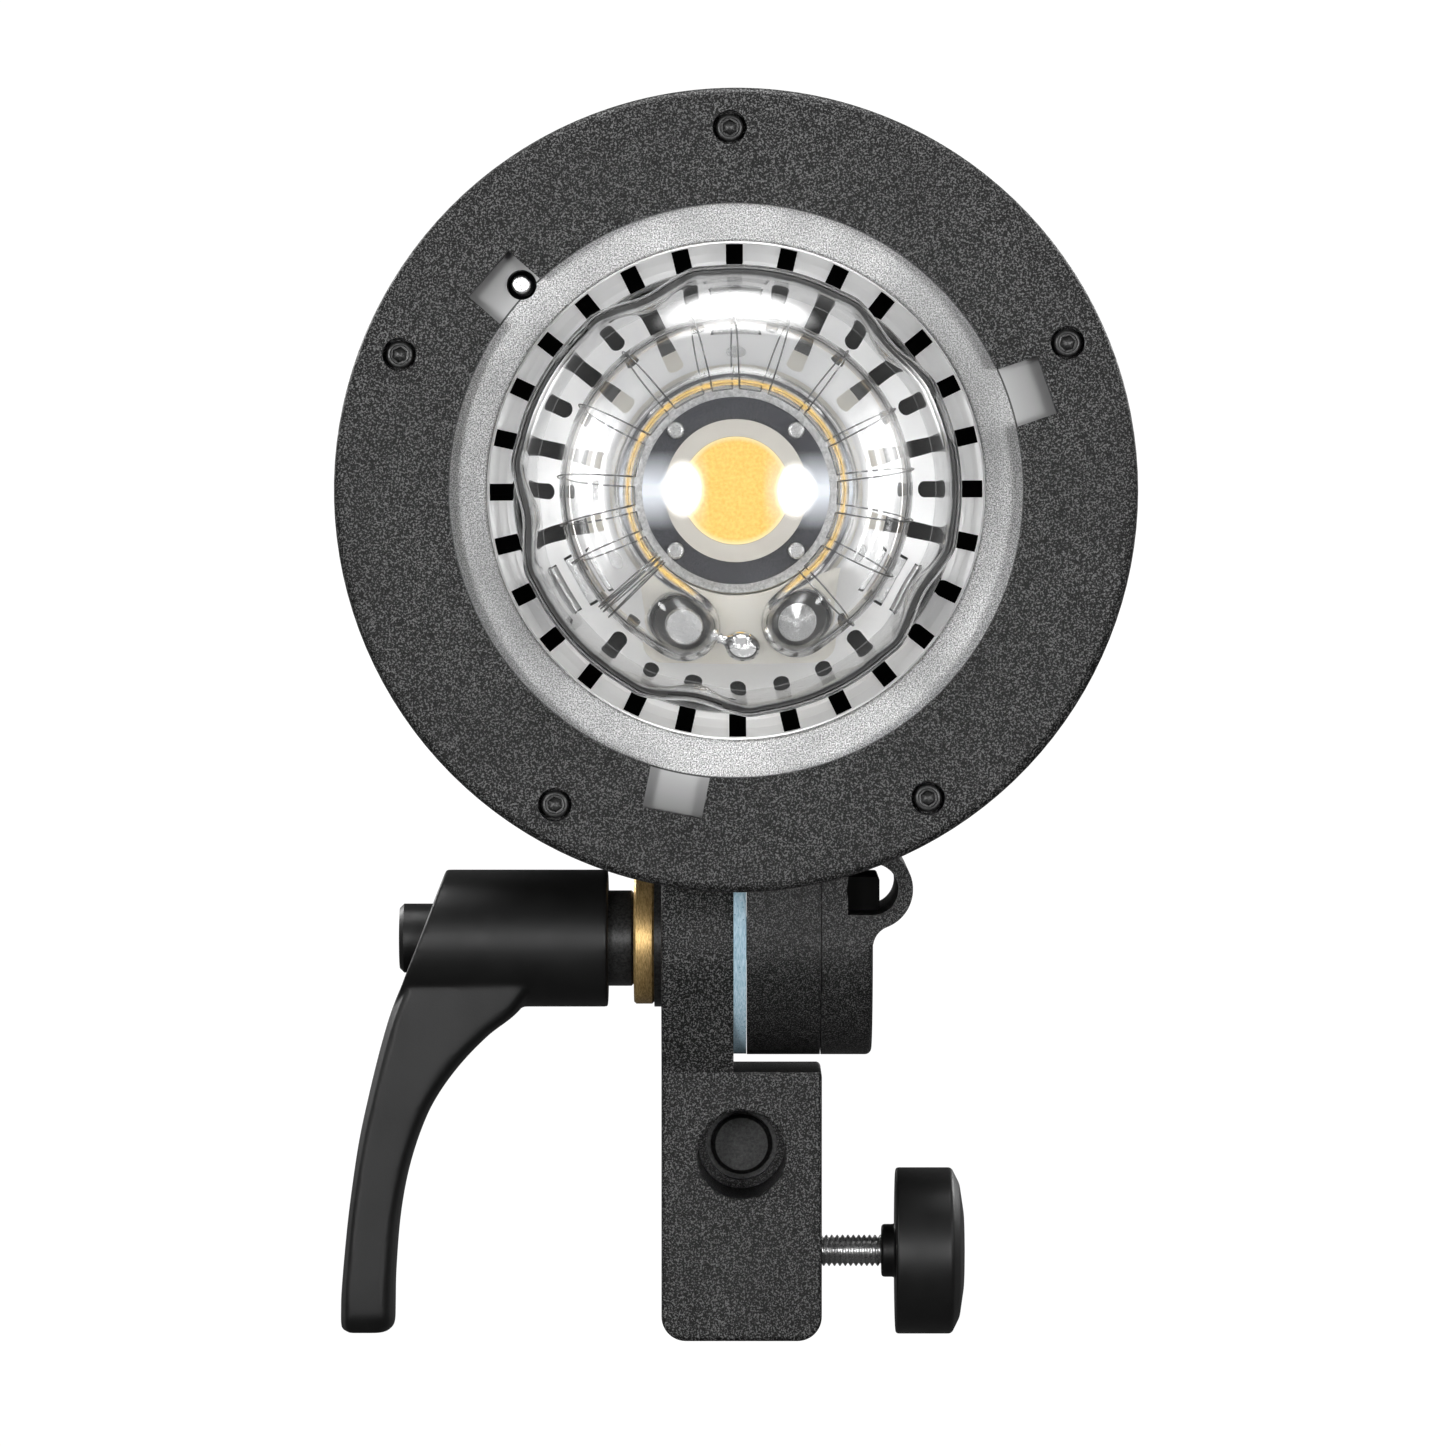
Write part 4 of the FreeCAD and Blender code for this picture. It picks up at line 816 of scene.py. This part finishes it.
def lathe_x(name, profile, z, node, slot, sides=96, smooth_angle=35.0):
    """Revolve (x, radius) millimetre points about an axis along X."""
    bm = bmesh.new()
    rings = [[around_x(x, radius, 360.0 * k / sides, z) for k in range(sides)]
             for x, radius in profile]
    add_rings(bm, rings)
    return new_piece(name, bm, node, slot, smooth_angle)


def rounded(corners, radius, steps=5):
    """Round the corners of an open (x, radius) profile."""
    points = [Vector(corner) for corner in corners]
    result = [points[0]]
    for before, here, after in zip(points, points[1:], points[2:]):
        into = (before - here)
        out = (after - here)
        reach = min(radius, into.length * 0.45, out.length * 0.45)
        start = here + into.normalized() * reach
        end = here + out.normalized() * reach
        for k in range(steps + 1):
            t = k / steps
            result.append((1 - t) ** 2 * start + 2 * t * (1 - t) * here + t * t * end)
    result.append(points[-1])
    return [(point.x, point.y) for point in result]


def build_knob():
    profile = rounded([(25.9, 0.3), (25.9, 4.9), (28.5, 4.9), (28.5, 15.4), (38.9, 15.4),
                       (40.4, 12.4), (41.2, 7.0), (41.4, 0.3)], 0.7)
    lathe_x("stand_knob_body", profile, KNOB_Z, "stand_knob", "black_plastic")


def build_thread():
    """A 1 mm pitch screw thread, with its crest running round as one helix."""
    bm = bmesh.new()
    sides, per_pitch = 48, 12
    rings = []
    for row in range(int(14.9 * per_pitch) + 1):
        x = 11.0 + row / per_pitch
        ring = []
        for k in range(sides):
            phase = (row / per_pitch - k / sides) % 1.0
            height = 1.0 - abs(2.0 * phase - 1.0)
            radius = 2.38 + 0.52 * min(1.0, max(0.0, 1.5 * height - 0.25))
            ring.append(around_x(x, radius, 360.0 * k / sides, KNOB_Z))
        rings.append(ring)
    add_rings(bm, rings)
    new_piece("clamp_thread", bm, "knob_screw", "steel", 25.0)


# ------------------------------------------------------------ inner baffle

BAFFLE_FRONT = -50.0
BAFFLE_BOTTOM = 30.4
BAFFLE_TOP = 57.0
BAFFLE_HALF = 0.4
PLEAT_DEPTH = 0.9
PLEAT_TURN = 1.1


def build_baffle():
    """A pleated insulating sheet down the lamp's middle, seen through the front vents."""
    bm = bmesh.new()
    corners = ((-BAFFLE_HALF, BAFFLE_BOTTOM), (BAFFLE_HALF, BAFFLE_BOTTOM),
               (BAFFLE_HALF, BAFFLE_TOP), (-BAFFLE_HALF, BAFFLE_TOP))
    rings = []
    for step in range(97):
        y = BAFFLE_FRONT + 0.5 * step
        pleat = PLEAT_DEPTH * math.sin(PLEAT_TURN * y)
        rings.append([Vector((HEAD_X + (pleat + x) * MM, y * MM, HEAD_Z + z * MM))
                      for x, z in corners])
    add_rings(bm, rings)
    new_piece("vent_baffle", bm, None, "black_plastic", body=BODY_OF["housing_tube"])


# ------------------------------------------------------------ coil springs

def build_spring(node):
    """A return spring: the CAD coil copied into a piece of its own in spring steel."""
    piece = bpy.data.objects.new(node + "_coil", NODES[node].data.copy())
    bpy.context.scene.collection.objects.link(piece)
    dress(piece, "spring_steel")
    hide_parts(node)
    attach(piece, BODY_OF[node])
    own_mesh(piece)


build_dome()
build_tube()
build_pip()
build_trigger_wire()
build_ring_screws()
build_lever()
build_knob()
build_thread()
build_baffle()
build_spring("lever_spring")
build_spring("umbrella_spring")
build_spring("lock_spring")


# ------------------------------------------------------------ CAD nodes

SLOT_OF = {part["node"]: part["material_slot"] for part in frame["record"]["subparts"]}
# Parts of one casting slot drawn otherwise than the ring's rough coat: the tilt hub and
# umbrella holder in a finer coat, and the chassis, front collar and umbrella pad near-black
# as painted shade, for they sit in shadow behind or inside other parts.
FINISH_OR_SHADE_OF = {"main_chassis": "hollow_black", "front_collar": "hollow_black",
             "tilt_hub": "fine_coat", "umbrella_holder": "fine_coat",
             "umbrella_pad": "hollow_black"}

for name, node in NODES.items():
    if node.hide_render:
        continue
    slot = SLOT_OF[name]
    node.data.materials.clear()
    node.data.materials.append(MATERIALS[FINISH_OR_SHADE_OF.get(name, slot)])


# ------------------------------------------------------------ stage, light, camera

FLOOR_Z = -0.30
FLOOR_R = 2.15


def build_floor():
    bm = bmesh.new()
    turns = [math.tau * k / 96 for k in range(96)]
    rings = [[Vector((radius * math.cos(turn), radius * math.sin(turn), FLOOR_Z))
              for turn in turns] for radius in (FLOOR_R, 0.4)]
    add_rings(bm, rings, cap_start=False)
    mesh = bpy.data.meshes.new("studio_floor")
    bm.to_mesh(mesh)
    bm.free()
    floor = bpy.data.objects.new("studio_floor", mesh)
    bpy.context.scene.collection.objects.link(floor)
    g = Graph("studio_floor")
    g.set(Base_Color=g.blend(g.noise(200.0), grey(0.50), grey(0.54)), Roughness=0.9)
    g.set(Emission_Color=grey(1.0), Emission_Strength=0.84)
    mesh.materials.append(g.material)
    floor.visible_diffuse = False
    floor.visible_glossy = False
    floor.visible_transmission = False


FILL_STRENGTH = 0.10
BACKDROP_STRENGTH = 1.05
SEEN_THROUGH_GLASS = 0.6


def build_world():
    """A white backdrop, also seen through glass; the light it gives off is a dim fill."""
    world = bpy.data.worlds.new("studio")
    bpy.context.scene.world = world
    world.use_nodes = True
    tree = world.node_tree
    fill = tree.nodes["Background"]
    fill.inputs["Strength"].default_value = FILL_STRENGTH
    fill.inputs["Color"].default_value = (1.0, 1.0, 1.0, 1.0)
    backdrop = tree.nodes.new("ShaderNodeBackground")
    backdrop.inputs["Color"].default_value = (1.0, 1.0, 1.0, 1.0)
    backdrop.inputs["Strength"].default_value = BACKDROP_STRENGTH
    path = tree.nodes.new("ShaderNodeLightPath")
    seen = tree.nodes.new("ShaderNodeMath")
    seen.operation = "MULTIPLY_ADD"
    seen.use_clamp = True
    tree.links.new(path.outputs["Is Transmission Ray"], seen.inputs[0])
    seen.inputs[1].default_value = SEEN_THROUGH_GLASS
    tree.links.new(path.outputs["Is Camera Ray"], seen.inputs[2])
    choose = tree.nodes.new("ShaderNodeMixShader")
    tree.links.new(seen.outputs[0], choose.inputs[0])
    tree.links.new(fill.outputs[0], choose.inputs[1])
    tree.links.new(backdrop.outputs[0], choose.inputs[2])
    tree.links.new(choose.outputs[0], tree.nodes["World Output"].inputs["Surface"])


GLOW_PEAK = 3.2


def softbox(name, place, aim, size, watts):
    """An area light whose glow fades towards its edges, so that reflections are soft."""
    light = bpy.data.lights.new(name, "AREA")
    light.shape = "RECTANGLE"
    light.size, light.size_y = size
    light.energy = watts
    light.use_nodes = True
    tree = light.node_tree
    emission = tree.nodes["Emission"]
    face = tree.nodes.new("ShaderNodeNewGeometry")
    centred = tree.nodes.new("ShaderNodeMapping")
    centred.inputs["Location"].default_value = (-1.0, -1.0, 0.0)
    centred.inputs["Scale"].default_value = (2.0, 2.0, 0.0)
    glow = tree.nodes.new("ShaderNodeTexGradient")
    glow.gradient_type = "SPHERICAL"
    shape = tree.nodes.new("ShaderNodeMapRange")
    shape.interpolation_type = "SMOOTHSTEP"
    shape.inputs["To Max"].default_value = GLOW_PEAK
    tree.links.new(face.outputs["Parametric"], centred.inputs["Vector"])
    tree.links.new(centred.outputs["Vector"], glow.inputs["Vector"])
    tree.links.new(glow.outputs["Fac"], shape.inputs["Value"])
    tree.links.new(shape.outputs["Result"], emission.inputs["Strength"])
    lamp = bpy.data.objects.new(name, light)
    bpy.context.scene.collection.objects.link(lamp)
    lamp.location = place
    lamp.rotation_euler = (Vector(aim) - Vector(place)).to_track_quat("-Z", "Y").to_euler()
    lamp.visible_camera = False


build_floor()
build_world()
TARGET = (0.0, -0.05, 0.13)
softbox("key_left", (-0.44, -1.5, 0.17), TARGET, (0.42, 0.55), 13.5)
softbox("key_right", (0.50, -1.5, 0.16), TARGET, (0.42, 0.55), 12.5)
softbox("side_left", (-1.2, -0.7, 0.5), TARGET, (0.8, 1.0), 7.0)
softbox("side_right", (1.2, -0.7, 0.5), TARGET, (0.8, 1.0), 7.0)
softbox("top_light", (0.0, -0.25, 1.45), TARGET, (1.4, 0.9), 40.0)
softbox("back_left", (-1.3, 1.3, 0.8), TARGET, (1.2, 1.2), 24.0)
softbox("back_right", (1.3, 1.3, 0.8), TARGET, (1.2, 1.2), 24.0)

CAMERA_PLACE = (-0.00105, -1.490, 0.1564)
CAMERA_TURN = (math.radians(90.0 - 1.654), 0.0, math.radians(0.096))
camera_data = bpy.data.cameras.new("camera")
camera_data.lens = 200.4
camera_data.sensor_width = 36.0
camera_data.clip_end = 50.0
camera = bpy.data.objects.new("camera", camera_data)
bpy.context.scene.collection.objects.link(camera)
camera.location = CAMERA_PLACE
camera.rotation_euler = CAMERA_TURN
bpy.context.scene.camera = camera
bpy.context.scene.view_settings.view_transform = "Standard"

bpy.context.view_layer.update()
